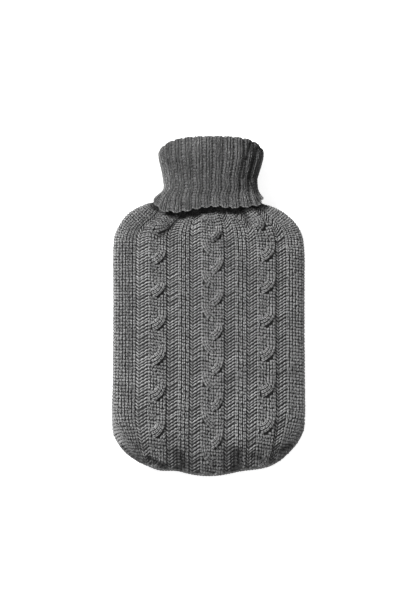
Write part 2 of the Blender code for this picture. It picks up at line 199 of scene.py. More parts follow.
# %% The wool material
def wool(name, deep, dark, light, ply_depth, fuzz_depth):
    """Melange wool between two greys, and a third, deeper grey where painted shade darkens it;
    bumps in metres.
    """
    material = bpy.data.materials.new(name)
    material.use_nodes = True
    tree = material.node_tree
    surface = tree.nodes["Principled BSDF"]
    place = add_node(tree, "ShaderNodeTexCoord").outputs["Object"]

    fibres = add_node(tree, "ShaderNodeTexNoise", Scale=900.0, Detail=3.0, Roughness=0.7)
    clouds = add_node(tree, "ShaderNodeTexNoise", Scale=42.0, Detail=3.0)
    for noise in (fibres, clouds):
        tree.links.new(place, noise.inputs["Vector"])
    tone = mix_factor(tree, "MULTIPLY", fibres.outputs["Fac"], 0.75)
    tone = mix_factor(tree, "ADD", tone, mix_factor(tree, "MULTIPLY", clouds.outputs["Fac"], 0.25))
    if ply_depth:
        # painted shade: each point's painted shade pulls its tone towards the deep grey
        painted_shade = add_node(tree, "ShaderNodeAttribute", attribute_name="painted_shade").outputs["Fac"]
        tone = mix_factor(tree, "SUBTRACT", tone, mix_factor(tree, "MULTIPLY", painted_shade, 0.30))
    ramp = add_node(tree, "ShaderNodeValToRGB")
    ramp.color_ramp.elements[0].position = 0.05
    ramp.color_ramp.elements[1].position = 0.68
    ramp.color_ramp.elements.new(0.34)
    for step, grey in zip(ramp.color_ramp.elements, (deep, dark, light)):
        step.color = (grey, grey, grey, 1)
    tree.links.new(tone, ramp.inputs[0])
    tree.links.new(ramp.outputs[0], surface.inputs["Base Color"])

    surface.inputs["Roughness"].default_value = 0.92
    surface.inputs["Specular IOR Level"].default_value = 0.25
    surface.inputs["Sheen Weight"].default_value = 0.08
    surface.inputs["Sheen Roughness"].default_value = 0.6

    fuzz = add_node(tree, "ShaderNodeBump", Strength=0.7, Distance=fuzz_depth)
    tree.links.new(fibres.outputs["Fac"], fuzz.inputs["Height"])
    last = fuzz
    if ply_depth:
        yarn = add_node(tree, "ShaderNodeUVMap", uv_map="yarn")
        parts = add_node(tree, "ShaderNodeSeparateXYZ")
        tree.links.new(yarn.outputs[0], parts.inputs[0])
        along = mix_factor(tree, "MULTIPLY", parts.outputs[1], 0.9)
        turn = mix_factor(tree, "ADD", mix_factor(tree, "MULTIPLY", parts.outputs[0], 2.0), along)
        wave = mix_factor(tree, "SINE", mix_factor(tree, "MULTIPLY", turn, 2 * np.pi), 0.0)
        plies = add_node(tree, "ShaderNodeBump", Strength=0.6, Distance=ply_depth)
        tree.links.new(wave, plies.inputs["Height"])
        tree.links.new(fuzz.outputs[0], plies.inputs["Normal"])
        last = plies
    tree.links.new(last.outputs[0], surface.inputs["Normal"])
    return material


# The yarn's melange is its own colour; its deepest grey is painted shade.
YARN = wool("grey_wool_yarn", 0.022, 0.130, 0.410, 0.00025, 0.00030)
# painted shade: the ground under the stitches is the same wool painted nearly black, for the shade
# in the gaps between them
SHADED_GROUND = wool("grey_wool_ground_in_painted_shade", 0.022, 0.042, 0.070, 0.0, 0.00030)

# %% [markdown]
# ## The form under the stitches
# The cover is filled, so its sections are rounded boxes that close in to a neck at the
# top and to one curved seam at the bottom. The sizes are those of the solids. A curve
# through each column of the table gives every section between.
# %% Body sections
BODY_COLUMNS = ("y", "left", "right", "top", "under", "square")
BODY_SECTIONS = (
    (-0.1170, -0.1024, 0.1026, 0.0390, -0.0012, 3.2),
    (-0.0800, -0.1012, 0.1023, 0.0396, -0.0014, 3.2),
    (0.0000, -0.1006, 0.1018, 0.0400, -0.0014, 3.2),
    (0.0490, -0.1008, 0.1020, 0.0398, -0.0012, 3.2),
    (0.0704, -0.1001, 0.1005, 0.0393, -0.0006, 3.0),
    (0.0789, -0.0976, 0.0977, 0.0388, 0.0006, 2.8),
    (0.0874, -0.0933, 0.0926, 0.0382, 0.0026, 2.6),
    (0.0959, -0.0869, 0.0838, 0.0376, 0.0056, 2.4),
    (0.1002, -0.0815, 0.0774, 0.0372, 0.0070, 2.3),
    (0.1044, -0.0742, 0.0680, 0.0368, 0.0080, 2.2),
    (0.1087, -0.0636, 0.0585, 0.0363, 0.0084, 2.1),
    (0.1130, -0.0515, 0.0505, 0.0361, 0.0086, 2.1),
    (0.1180, -0.0456, 0.0478, 0.0360, 0.0086, 2.1),
)


# %% Curves between the rows of a table
def length_along(points, least=0.0):
    """The length along a line to each of its points, at least so much between two."""
    steps = np.linalg.norm(np.diff(points, axis=0), axis=1) + least
    return np.concatenate([[0], np.cumsum(steps)])


def smooth_between(xs, values, at):
    """A curve through the points of a table that never overshoots them."""
    step = np.diff(xs)
    slope = np.diff(values) / step
    tangent = np.zeros(len(xs))
    tangent[0], tangent[-1] = slope[0], slope[-1]
    same_way = slope[:-1] * slope[1:] > 0
    mean = 2 * slope[:-1] * slope[1:] / np.where(same_way, slope[:-1] + slope[1:], 1)
    tangent[1:-1] = np.where(same_way, mean, 0)
    at = np.clip(at, xs[0], xs[-1])
    i = np.clip(np.searchsorted(xs, at, side="right") - 1, 0, len(step) - 1)
    t = (at - xs[i]) / step[i]
    return (
        (2 * t**3 - 3 * t**2 + 1) * values[i]
        + (t**3 - 2 * t**2 + t) * step[i] * tangent[i]
        + (3 * t**2 - 2 * t**3) * values[i + 1]
        + (t**3 - t**2) * step[i] * tangent[i + 1]
    )


def column(rows, columns, name):
    """One named column of a table, as an array."""
    return np.array([row[columns.index(name)] for row in rows], float)


def between_rows(rows, columns, name, at):
    """A named column of a table between its rows, which stand at its first column."""
    return smooth_between(column(rows, columns, columns[0]), column(rows, columns, name), at)


def body_at(name, y):
    """A named size of the body's section at a height y up the body."""
    return between_rows(BODY_SECTIONS, BODY_COLUMNS, name, y)


# %% The body's surface
SEAM_HEIGHT = 0.0195           # the side and bottom seams lie at this height
NECK_Y = BODY_SECTIONS[-1][0]
CORNER_START_Y = BODY_SECTIONS[0][0]
BOTTOM_DEPTH = 0.0615
BOTTOM_EDGE_SQUARE = (2.5, 2.28)   # the left corner is a little fuller than the right
BOTTOM_LOBES = (               # x, spread and depth
    (0.0010, 0.0220, 0.0022),
    (-0.0530, 0.0080, 0.0010),
    (-0.0330, 0.0110, -0.0018),
    (0.0340, 0.0110, -0.0008),
    (0.0680, 0.0170, 0.0028),
)                              # the bottom seam is uneven: how far it hangs out, and where
BOTTOM_ROUND_Y = -0.1080       # below this the face rounds off to the bottom seam
BOTTOM_SQUARE = 2.8


def section_height(q, square):
    """How high a section stands at q, as a share of its height in the middle."""
    return np.maximum(1 - np.abs(q) ** square, 0) ** (1 / square)


def bottom_edge(x):
    """The y of the bottom seam at x."""
    left, right = body_at("left", CORNER_START_Y), body_at("right", CORNER_START_Y)
    q = np.clip((2 * x - left - right) / (right - left), -1, 1)
    left_square, right_square = BOTTOM_EDGE_SQUARE
    depth = BOTTOM_DEPTH * section_height(q, np.where(q < 0, left_square, right_square))
    for middle, spread, lobe in BOTTOM_LOBES:
        depth = depth + lobe * np.exp(-(((x - middle) / spread) ** 2)) * (1 - q**8)
    return CORNER_START_Y - depth


def across_body(q, y, inset):
    """The x of a place q (-1 to 1) across the section at y, drawn in by inset."""
    left, right = body_at("left", y) + inset, body_at("right", y) - inset
    return left * (1 - q) / 2 + right * (1 + q) / 2


def body_point(q, y, inset, front):
    """Points of the front's or the back's form, drawn in by inset, at q across and at y."""
    q = np.clip(q, -1, 1)
    x = across_body(q, y, inset)
    seam_y = bottom_edge(x) + inset
    round_off = np.clip((BOTTOM_ROUND_Y - y) / (BOTTOM_ROUND_Y - seam_y), 0, 1)
    share = section_height(q, body_at("square", y)) * section_height(round_off, BOTTOM_SQUARE)
    if front:
        z = SEAM_HEIGHT + (body_at("top", y) - inset - SEAM_HEIGHT) * share
    else:
        z = SEAM_HEIGHT - (SEAM_HEIGHT - body_at("under", y) - inset) * share
        z = np.maximum(z, inset)
    return np.stack([x, np.broadcast_to(y, x.shape), z], axis=-1)


# %% Where the collar's hem hangs over the front
HEM_COLUMNS = ("x", "y")
FRONT_HEM = (
    (-0.0597, 0.1045),
    (-0.0534, 0.1023),
    (-0.0438, 0.1002),
    (-0.0342, 0.0992),
    (-0.0247, 0.1002),
    (-0.0151, 0.1023),
    (-0.0061, 0.1040),
    (0.0083, 0.1055),
    (0.0221, 0.1040),
    (0.0412, 0.1050),
    (0.0604, 0.1064),
)
HEM_GAP_COLUMNS = ("x", "depth")
HEM_GAP = (
    (-0.0600, 0.0010),
    (-0.0480, 0.0036),
    (-0.0430, 0.0052),
    (-0.0330, 0.0068),
    (-0.0100, 0.0076),
    (0.0050, 0.0072),
    (0.0330, 0.0064),
    (0.0370, 0.0022),
    (0.0600, 0.0012),
)                              # how far below the hem the cloth dips in to the neck
HEM_SIDE = 0.066               # the hem reaches this far to each side
HEM_SIDE_FADE = 0.010
DIP_EDGE = 0.0034              # the shade of the dip has a crisp edge,
DIP_EDGE_SOFT = 0.0060         # and its form a soft one


def dips_under_hem(x, y, soft=DIP_EDGE):
    """1 where the front dips in under the hem, and 0 a little lower."""
    hem = between_rows(FRONT_HEM, HEM_COLUMNS, "y", x)
    depth = between_rows(HEM_GAP, HEM_GAP_COLUMNS, "depth", x)
    beside = soft_step((HEM_SIDE - np.abs(x)) / HEM_SIDE_FADE)
    return soft_step((y - hem + depth + soft / 2) / soft) * beside


# %% [markdown]
# ## Wales and courses
# A column of stitches is a wale and a row is a course. On the real cover the wales lean
# in to the neck and to the bottom corners, and the courses stay square to them, so they
# fan out round the shoulders. `square_net` lays such a net on a form: it measures along
# each wale, then walks each course outward from the middle, square to the wales. `Cloth`
# keeps a net and gives points anywhere on it or above it.
# %% Courses and wales
FIRST_COURSE, LAST_COURSE = -34, 100
FIRST_COURSE_Y = 0.0802        # the height of course 0
COURSE_PITCH = 0.00291
COURSE_GROWTH = 0.0000051      # the courses grow a little longer towards the bottom
FINE = 3                       # net points for each wale and each course
NET_COURSES = FIRST_COURSE + np.arange((LAST_COURSE - FIRST_COURSE) * FINE + 1) / FINE
BOTTOM_LEVEL = 0.75            # how level the courses lie in the bottom corners,
BOTTOM_LEVEL_FROM = -0.090     # below this height
BOTTOM_LEVEL_FADE = 0.035
WALE_STEPS = np.arange(-0.24, 0.20, 0.0008)    # where wales are measured, in metres


def net_wales(first, last):
    """The wales of a net's points, from the first wale to the last."""
    return np.arange(first * FINE, last * FINE + 1) / FINE


def course_height(course):
    """The height up the middle wale at which a course lies."""
    return FIRST_COURSE_Y - COURSE_PITCH * course - COURSE_GROWTH * course**2


# %% Points along a wale
def points_at(points, steps, where):
    """Points part of the way along a wale that is sampled at steps."""
    return np.stack([np.interp(where, steps, axis) for axis in points.T], axis=-1)


def even_steps(points, lengths, steps):
    """Points at even steps along a wale, carried straight on past its two ends."""
    on = points_at(points, lengths, steps)
    for end, beside, beyond in (
        (0, 3, steps < lengths[0]), (-1, -4, steps > lengths[-1])
    ):
        run = (points[end] - points[beside]) / (lengths[end] - lengths[beside])
        on[beyond] = points[end] + run * (steps[beyond] - lengths[end])[:, None]
    return on


# %% A net of wales and courses
def square_net(columns, lengths, tops, fan=1.0, margin=0.0):
    """Points[wale, course] whose courses stay square to the wales, and where cloth is.

    With a fan of 0 each course lies at the same length down every wale instead. The
    cloth stops a margin before the lower end of each wale.
    """
    middle = len(columns) // 2
    steps = WALE_STEPS
    laid = np.stack([even_steps(p, s, steps) for p, s in zip(columns, lengths)])
    along = np.gradient(laid, axis=1)
    along /= np.linalg.norm(along, axis=2, keepdims=True)
    low_down = soft_step((BOTTOM_LEVEL_FROM - steps) / BOTTOM_LEVEL_FADE)
    fan = fan * (1 - BOTTOM_LEVEL * low_down)
    lean = -fan * (np.gradient(laid, axis=0) * along).sum(axis=2)
    where = np.zeros((len(columns), len(NET_COURSES)))
    where[middle] = course_height(NET_COURSES)
    for way in (-1, 1):
        for k in range(middle, len(columns) - 1 if way > 0 else 0, way):
            slope = np.interp(where[k], steps, lean[k])
            next_slope = np.interp(where[k] + way * slope, steps, lean[k + way])
            where[k + way] = where[k] + way * (slope + next_slope) / 2
    points = np.stack([points_at(p, steps, w) for p, w in zip(laid, where)])
    low = np.array([s.min() for s in lengths])[:, None] + margin
    return points, (where >= low) & (where <= tops[:, None])


# %% The cloth
class Cloth:
    """Points and normals of a knitted form at any wale and course."""

    def __init__(self, points, inside, first_wale, first_course, outward):
        self.first = (first_wale, first_course)
        self.points = points
        self.inside = inside.astype(float)
        rise = np.cross(np.gradient(points, axis=0), np.gradient(points, axis=1)) * outward
        self.normals = rise / np.maximum(np.linalg.norm(rise, axis=2, keepdims=True), 1e-12)

    def look_up(self, field, wale, course):
        """A field of the net between its points."""
        u = np.clip((wale - self.first[0]) * FINE, 0, field.shape[0] - 1.001)
        v = np.clip((course - self.first[1]) * FINE, 0, field.shape[1] - 1.001)
        i, j = u.astype(int), v.astype(int)
        u, v = (u - i), (v - j)
        if field.ndim == 3:
            u, v = u[..., None], v[..., None]
        low = field[i, j] * (1 - v) + field[i, j + 1] * v
        high = field[i + 1, j] * (1 - v) + field[i + 1, j + 1] * v
        return low * (1 - u) + high * u

    def place(self, wale, course, height):
        """Points at these wales and courses, raised by height along the normal."""
        wale, course, height = np.broadcast_arrays(wale, course, height)
        normal = self.look_up(self.normals, wale, course)
        normal /= np.maximum(np.linalg.norm(normal, axis=-1, keepdims=True), 1e-9)
        return self.look_up(self.points, wale, course) + normal * height[..., None]

    def holds(self, wale, course):
        """Whether the cloth is there."""
        return self.look_up(self.inside, wale, course) > 0.99


# %% [markdown]
# ## The chart of the front
# From the left seam: a plain knit band, then purl grounds with two rope cables, two ribs
# of three and a plait of three strands between them, and a knit band again. The bands
# turn down round the sides, so they have more wales than show from above. Where the
# stitches draw in, near the hem and in the bottom corners, the wales lean inwards.
# %% Front chart
CHART_COLUMNS = ("group", "stitch", "wales", "width")
FRONT_CHART = (
    ("left_band", "knit", 9, 0.0239),
    ("purl_1", "purl", 3, 0.0128),
    ("left_rope", "rope", 6, 0.0197),
    ("purl_2", "purl", 3, 0.0119),
    ("left_rib", "rib", 3, 0.0125),
    ("purl_3", "purl", 3, 0.0117),
    ("plait", "plait", 9, 0.0250),
    ("purl_4", "purl", 3, 0.0114),
    ("right_rib", "rib", 3, 0.0125),
    ("purl_5", "purl", 3, 0.0106),
    ("right_rope", "rope", 6, 0.0202),
    ("purl_6", "purl", 3, 0.0112),
    ("right_band", "knit", 8, 0.0191),
)
WALES = column(FRONT_CHART, CHART_COLUMNS, "wales")
WIDTHS = column(FRONT_CHART, CHART_COLUMNS, "width")
GROUP_WALE = np.concatenate([[0], np.cumsum(WALES)])
GROUP_PLACE = np.concatenate([[0], np.cumsum(WIDTHS)]) / WIDTHS.sum() * 2 - 1
GROUPS = [row[0] for row in FRONT_CHART]
GROUP_START = dict(zip(GROUPS, GROUP_WALE))
FRONT_WALES = int(GROUP_WALE[-1])

# %% Wales past the seams
SPARE_WALES = 10               # these start in the bottom corners, past the side seams
SPARE_STEP = 0.0045            # how far off the first is, as a share of half the width


def past_seams(wale, count):
    """How far past the seams the spare wales lie: close together, then wider apart."""
    beyond = np.maximum(wale - count, 0) + np.maximum(-wale, 0)
    return np.sign(wale) * SPARE_STEP * beyond * (beyond + 1) / 2


def even_places(low, high, count):
    """Places from low to high whose spacing round a section at mid-height is even."""
    q = np.sin(np.linspace(np.arcsin(low), np.arcsin(high), 400))
    length = length_along(body_point(q, np.zeros(400), 0.001, True))
    return np.interp(np.linspace(0, length[-1], count), length, q)


BAND_PLACES = 67               # how finely the wales of the two bands are placed


def front_place(wale):
    """The place q of a wale across the section at mid-height; past the seams it runs on."""
    left = even_places(-1, GROUP_PLACE[1], BAND_PLACES)
    right = even_places(GROUP_PLACE[-2], 1, BAND_PLACES)
    wales = np.concatenate(
        [np.linspace(0, GROUP_WALE[1], BAND_PLACES), GROUP_WALE[2:-2],
         np.linspace(GROUP_WALE[-2], GROUP_WALE[-1], BAND_PLACES)]
    )
    q = np.interp(wale, wales, np.concatenate([left, GROUP_PLACE[2:-2], right]))
    return q + past_seams(wale, FRONT_WALES)


# %% Lean of the wales
GATHER_Y = 0.0975              # the wales are drawn in to the neck about this height
GATHER_SPREAD = 0.010
GATHER_LEFT = 0.35             # and more at the left than at the right
GATHER_RIGHT = 0.16
GATHER_FULL = 0.45             # the wales between here and the middle are drawn in less
CORNER_LEAN = 0.18             # how far wales lean in at the depth CORNER_LEAN_Y
CORNER_LEAN_Y = -0.150
CORNER_LEAN_START = -0.110


def leaned(q, y):
    """The place of a wale at a height y: drawn in under the hem and in the corners."""
    near_hem = np.exp(-(((y - GATHER_Y) / GATHER_SPREAD) ** 2))
    amount = np.where(q < 0, GATHER_LEFT, GATHER_RIGHT)
    amount = amount * np.clip(np.abs(q) / GATHER_FULL, 0, 1)
    drawn = q * (1 - amount * np.maximum(1 - q * q, 0) * near_hem)
    depth = np.maximum(CORNER_LEAN_START - y, 0) / (CORNER_LEAN_START - CORNER_LEAN_Y)
    return drawn * (1 - CORNER_LEAN * depth**1.5 * np.clip(np.abs(drawn), 0, 1) ** 3)


# %% Points up each wale
HEIGHTS = np.linspace(-0.185, NECK_Y, 900)     # where each wale is looked for
LEAST_STEP = 1e-9              # keeps the points of a wale apart


def heights_up(low):
    """Heights from the bottom seam at low up to the neck, closest at the seam."""
    round_y = max(BOTTOM_ROUND_Y, low + 0.002)
    return np.concatenate(
        [low + (round_y - low) * np.linspace(0, 1, 140) ** 1.6,
         np.linspace(round_y, NECK_Y, 260)[1:]]
    )


def wale_ends(q, inset):
    """The heights at which the wale at q starts and ends on the cloth."""
    place = leaned(q, HEIGHTS)
    seam = bottom_edge(across_body(np.clip(place, -1, 1), HEIGHTS, inset))
    on_cloth = HEIGHTS[(HEIGHTS - seam - inset > 0) & (np.abs(place) <= 1)]
    if len(on_cloth):
        return on_cloth.min(), on_cloth.max()
    return CORNER_START_Y, -1.0    # it misses the cloth


def body_columns(places, inset, front):
    """Points up each wale, the distances along it from mid-height, and where it ends."""
    columns, lengths, tops = [], [], []
    for q in places:
        low, top = wale_ends(q, inset)
        y = heights_up(low)
        points = body_point(leaned(q, y), y, inset, front)
        length = length_along(points, LEAST_STEP)
        columns.append(points)
        lengths.append(length - np.interp(0.0, y, length))
        tops.append(np.interp(top, y, lengths[-1]))
    return columns, lengths, np.array(tops)


# %% A net for each group
YARN_INSET = 0.0011            # the ground lies this far under the outside of the solids
SEAM_ROWS = 0.0030             # the rows along the bottom seam take this much
BAND_ROWS = 0.0008             # and this much at the bands, where they thin out
BESIDE = 2                     # wales that the net of a group runs on past it


def group_cloth(group, count):
    """The net of one group of the chart, whose courses are square to its own wales."""
    first, last = GROUP_START[group] - BESIDE, GROUP_START[group] + count + BESIDE
    if group == "left_band":
        first = -SPARE_WALES
    if group == "right_band":
        last = FRONT_WALES + SPARE_WALES
    wale_points = body_columns(front_place(net_wales(first, last)), YARN_INSET, True)
    rows = BAND_ROWS if "band" in group else SEAM_ROWS
    net, inside = square_net(*wale_points, margin=rows)
    return Cloth(net, inside, first, FIRST_COURSE, -1.0)


FRONT = {group: group_cloth(group, count) for group, _, count, _ in FRONT_CHART}
print("front:", FRONT_WALES, "wales in", len(FRONT), "groups")

# %% [markdown]
# ## Courses that sway
# Purl stitches show as wavy bars, and on this cover each bar falls from the wale beside
# it, then climbs to the right across the ground. So a course isn't level: `sway_of`
# says how far it sinks at each wale.
# %% Sway of the courses
PURL_FALL = 0.95               # how many courses a bar sinks at its left,
PURL_LOW = 0.24                # as far across its group as this,
PURL_CLIMB = -0.75             # and where it has climbed to at its right
SWAY_FADE = 5                  # the wales in which the next group comes level again


def sway_of(wale):
    """How many courses lower a course lies at a wale than at the left of its group."""
    sway = np.zeros(np.shape(wale))
    for (_, stitch, count, _), start in zip(FRONT_CHART, GROUP_WALE):
        u = (wale - start) / count
        if stitch == "purl":
            value = np.interp(u, (0, PURL_LOW, 1), (0, PURL_FALL, PURL_CLIMB))
        elif start == 0:
            value = 0 * u
        else:
            value = np.interp(u, (0, min(1, SWAY_FADE / count)), (PURL_CLIMB, 0))
        sway = np.where((u >= 0) & (u <= 1), value, sway)
    return sway


# %% [markdown]
# ## Strands that cross
# In a cable three wales cross over the next three: here the right ones pass over to the
# lower left, every eleven courses. In the plait the right ones pass over to the middle and
# then the left ones do. Between its crossings a cable is a flat panel of knit wales, so
# that panel is knitted first and each crossing strand is laid over it.
# %% Where the strands cross
CABLE_COURSES = 11
CROSSINGS = {                  # the first course, and the places it goes from and to
    "left_rope": ((-1.2, 0.75, 0.16),),
    "right_rope": ((8.5, 0.75, 0.16),),
    "plait": ((1.8, 0.82, 0.46), (6.8, 0.18, 0.54)),
}
SLOTS = {
    "left_rope": ((0.25, 1.0), (0.75, 1.0)),
    "right_rope": ((0.25, 1.0), (0.75, 1.0)),
    "plait": ((0.18, 1.0), (0.50, 0.6), (0.82, 1.0)),
}                              # where the strands lie between crossings, and how full
SWING_COURSES = {"left_rope": 2.7, "right_rope": 2.7, "plait": 2.3}    # half a crossing
SWING_BEND = 2.0               # a crossing sets off straight down and ends across,
SWING_FLAT = 0.35              # and has dropped this much less by its end
SWING_BEFORE = -0.15           # its line starts a little above it, as a share of it
STRAND_HALF = 1.5              # half a strand's width, in wales
CROSSING_HALF = 1.42
CROSSING_NARROW = 0.12         # how much closer the wales of a strand lie as it crosses
STRAND_RISE = 0.0016
OVER_RISE = 0.0024
CREASE = 0.0014                # how deep the cloth dips in just below a crossing strand
UNDERCUT = 0.30                # how far below a crossing strand the lower one is hidden
OVERLAP = 0.35                 # how far it is still seen over the upper edge
CREASE_OFF = 0.15              # the crease lies this far below the strand's edge, in wales
CREASE_HALF = 0.35             # and is this wide to each side
END_SLACK = 0.3                # a place further past a crossing's end isn't on it


# %% The line of a crossing
def crossing_line(group, place_from, place_to):
    """The middle of a crossing strand: wales from the group's start, courses, and share."""
    share = np.linspace(SWING_BEFORE, 1.0, 60)
    swing = np.maximum(share, 0) ** SWING_BEND
    wale = (place_from + (place_to - place_from) * swing) * WALES[GROUPS.index(group)]
    down = 2 * share - 1 - SWING_FLAT * np.maximum(share, 0) ** 3
    return wale, down * SWING_COURSES[group], share


def wale_in_courses(group):
    """The width of one of a group's wales, measured in courses."""
    index = GROUPS.index(group)
    return WIDTHS[index] / WALES[index] / COURSE_PITCH


def beside_crossing(group, crossing, wale, level):
    """How far below a crossing's middle line a place is and past its end, in wales.

    The last result is the share of the way along the crossing.
    """
    first, place_from, place_to = crossing
    line_wale, line_course, share = crossing_line(group, place_from, place_to)
    pitch = wale_in_courses(group)
    turn = (level - first + CABLE_COURSES / 2) % CABLE_COURSES - CABLE_COURSES / 2
    off_wale = (wale - GROUP_START[group])[..., None] - line_wale
    off_course = (turn[..., None] - line_course) / pitch
    near = np.argmin(off_wale**2 + off_course**2, axis=-1)
    off_wale = np.take_along_axis(off_wale, near[..., None], -1)[..., 0]
    off_course = np.take_along_axis(off_course, near[..., None], -1)[..., 0]
    run = np.stack([np.gradient(line_wale), np.gradient(line_course) / pitch])
    run_wale, run_course = (run / np.hypot(*run))[:, near]
    side = np.sign(place_from - place_to)
    below = (off_wale * run_course - off_course * run_wale) * side
    past = np.abs(off_wale * run_wale + off_course * run_course)
    return below, past, share[near]


def strand_dome(offset, half_width):
    """The flat top and round edges of a strand, 1 in its middle and 0 at its edges."""
    return np.sqrt(np.clip(1 - np.abs(offset / half_width) ** 3, 0, 1))


def crossing_rise(share):
    """How high a crossing strand stands, share being the way along it."""
    return STRAND_RISE + OVER_RISE * np.sin(np.pi * np.clip(share, 0, 1))


# %% [markdown]
# ## Creases and relief
# Filled knitting isn't smooth: it creases where the neck gathers it and along the bottom
# seam, and its ribs and cables stand up. Each crease is a soft ridge or valley along a
# short line, so it can be put exactly where it belongs. That is easier to keep in place
# than sculpted strokes, and the stitches that are laid on it later follow it.
# %% Creases and folds
KNIT_RISE = 0.0006             # how far the bands stand above the purl grounds
RIB_RISE = 0.0012
HEM_DIP = 0.0022
FOLDS = (                      # x and y from, x and y to, half the width, and the rise
    (-0.0353, 0.0930, -0.0600, 0.0808, 0.0042, 0.0017),
    (-0.0370, 0.0862, -0.0512, 0.0735, 0.0022, -0.0014),
    (0.0354, 0.1013, 0.0444, 0.0853, 0.0035, -0.0020),
    (0.0476, 0.1010, 0.0508, 0.0850, 0.0060, 0.0014),
    (0.0136, 0.0747, 0.0051, 0.0683, 0.0032, -0.0014),
    (-0.0305, -0.1560, -0.0290, -0.1700, 0.0050, -0.0030),
    (0.0306, -0.1540, 0.0295, -0.1690, 0.0050, -0.0028),
    (-0.0620, -0.1600, -0.0480, -0.1680, 0.0035, -0.0024),
    (-0.0660, -0.1560, -0.0420, -0.1630, 0.0030, 0.0012),
    (-0.0905, -0.1490, -0.0760, -0.1620, 0.0028, -0.0011),
    (0.0480, -0.1580, 0.0560, -0.1620, 0.0035, -0.0018),
    (0.0760, -0.1530, 0.0860, -0.1480, 0.0035, -0.0016),
)


def folds_at(folds, x, y):
    """The rise of the soft creases and ridges of a table at a place."""
    rise = np.zeros(np.shape(x))
    for x_from, y_from, x_to, y_to, half_width, height in folds:
        run = np.array([x_to - x_from, y_to - y_from])
        t = ((x - x_from) * run[0] + (y - y_from) * run[1]) / (run @ run)
        t = np.clip(t, 0, 1)
        away = np.hypot(x - x_from - t * run[0], y - y_from - t * run[1])
        rise = rise + height * np.exp(-((away / half_width) ** 2))
    return rise


def fold_rise(x, y):
    """The folds of the front and its dip under the hem."""
    return folds_at(FOLDS, x, y) - HEM_DIP * dips_under_hem(x, y, DIP_EDGE_SOFT)


# %% Relief of each group
def group_relief(group, stitch, u, course):
    """How far the ground of a group stands up, u being 0 to 1 across it."""
    if stitch == "knit":
        return KNIT_RISE * soft_step(np.minimum(u, 1 - u) * 8 + 0.2)
    if stitch == "rib":
        return RIB_RISE * np.sqrt(np.clip(1 - (2 * u - 1) ** 2 * 0.9, 0, 1))
    if stitch == "purl":
        return 0 * u
    wales = WALES[GROUPS.index(group)]
    wale = GROUP_START[group] + u * wales
    tops = [
        STRAND_RISE * full * strand_dome((u - place) * wales, STRAND_HALF)
        for place, full in SLOTS[group]
    ]
    top = np.maximum.reduce(tops)
    for crossing in CROSSINGS[group]:
        below, past, share = beside_crossing(group, crossing, wale, course - sway_of(wale))
        edge = np.exp(-(((below - CROSSING_HALF - CREASE_OFF) / CREASE_HALF) ** 2))
        along = soft_step(share * 4) * soft_step((1 - share) * 4)
        on_it = past < END_SLACK
        top = top - CREASE * edge * along * on_it
        over = crossing_rise(share) * strand_dome(below, CROSSING_HALF)
        top = np.where(on_it & (over > top), over, top)
    return top


def ends_softly(cloth, wale, course):
    """1 on the open cloth, and 0 at the seams and the neck, where the relief dies out."""
    near = [cloth.holds(wale + dw, course + dc) for dw in (-1.5, 0, 1.5) for dc in (-3, 0, 3)]
    return np.mean(near, axis=0)


def front_relief(group, wale, course):
    """The rise of the front's ground at any wale and course of a group and beside it."""
    wale, course = np.broadcast_arrays(wale, course)
    _, stitch, count, _ = FRONT_CHART[GROUPS.index(group)]
    u = (wale - GROUP_START[group]) / count
    edge = KNIT_RISE if stitch == "knit" else 0.0
    rise = group_relief(group, stitch, np.clip(u, 0, 1), course)
    rise = np.where((u >= 0) & (u <= 1), rise, 0)
    rise = np.where((wale < 0) | (wale > FRONT_WALES), edge, rise)
    cloth = FRONT[group]
    base = cloth.place(wale, course, 0.0)
    return (rise + fold_rise(base[..., 0], base[..., 1])) * ends_softly(cloth, wale, course)


# %% [markdown]
# ## The ground cloth
# Behind the loops of yarn that show is the rest of the knitting, which closes the cloth.
# It is a thin shell: a net of points on the outside, the same net one thickness in, and
# a strip round the rim. It stands for the solid, and the stitches are laid on it. Its wool
# is painted nearly black, as painted shade for the gaps between the stitches.
# %% A closed sheet
CLOTH = 0.0020                 # how far in the shell's inside lies
GROUND_ROWS = 150
BACK_ROWS = 96
GROUND_BELOW = 0.0006          # the ground lies this far under the stitches' relief
RELIEF_FADE = 0.012            # the relief dies out this far above the seam
UNLEAN_ROUNDS = 30


def closed_sheet(outer, inner, ring=False):
    """Points and faces of a sheet between two equal nets of points, round or open."""
    rows, cols = outer.shape[:2]
    points = np.concatenate([outer.reshape(-1, 3), inner.reshape(-1, 3)])
    net = np.arange(rows * cols).reshape(rows, cols)
    under = rows * cols
    if ring:
        net = np.concatenate([net, net[:1]])
    cells = np.stack([net[:-1, :-1], net[:-1, 1:], net[1:, 1:], net[1:, :-1]], axis=-1)
    faces = [cells.reshape(-1, 4), cells.reshape(-1, 4)[:, ::-1] + under]
    if ring:
        rims = [(net[:-1, 0], net[1:, 0]), (net[1:, -1], net[:-1, -1])]
    else:
        rim = np.concatenate([net[0, :-1], net[:-1, -1], net[-1, :0:-1], net[:0:-1, 0]])
        rims = [(np.roll(rim, -1), rim)]
    for near, far in rims:
        faces.append(np.stack([near, far, far + under, near + under], axis=-1))
    return points, np.concatenate(faces)


# %% Rows up a panel
def grid_to_seam(places, rows, inset, front):
    """Even steps up each column of a panel, from its seam to the neck, not leaned in."""
    columns = []
    for q in places:
        y = heights_up(bottom_edge(across_body(q, CORNER_START_Y, inset)) + inset)
        points = body_point(np.full(y.shape, q), y, inset, front)
        length = length_along(points, LEAST_STEP)
        columns.append(points_at(points, length, np.linspace(0, length[-1], rows)))
    return np.stack(columns)


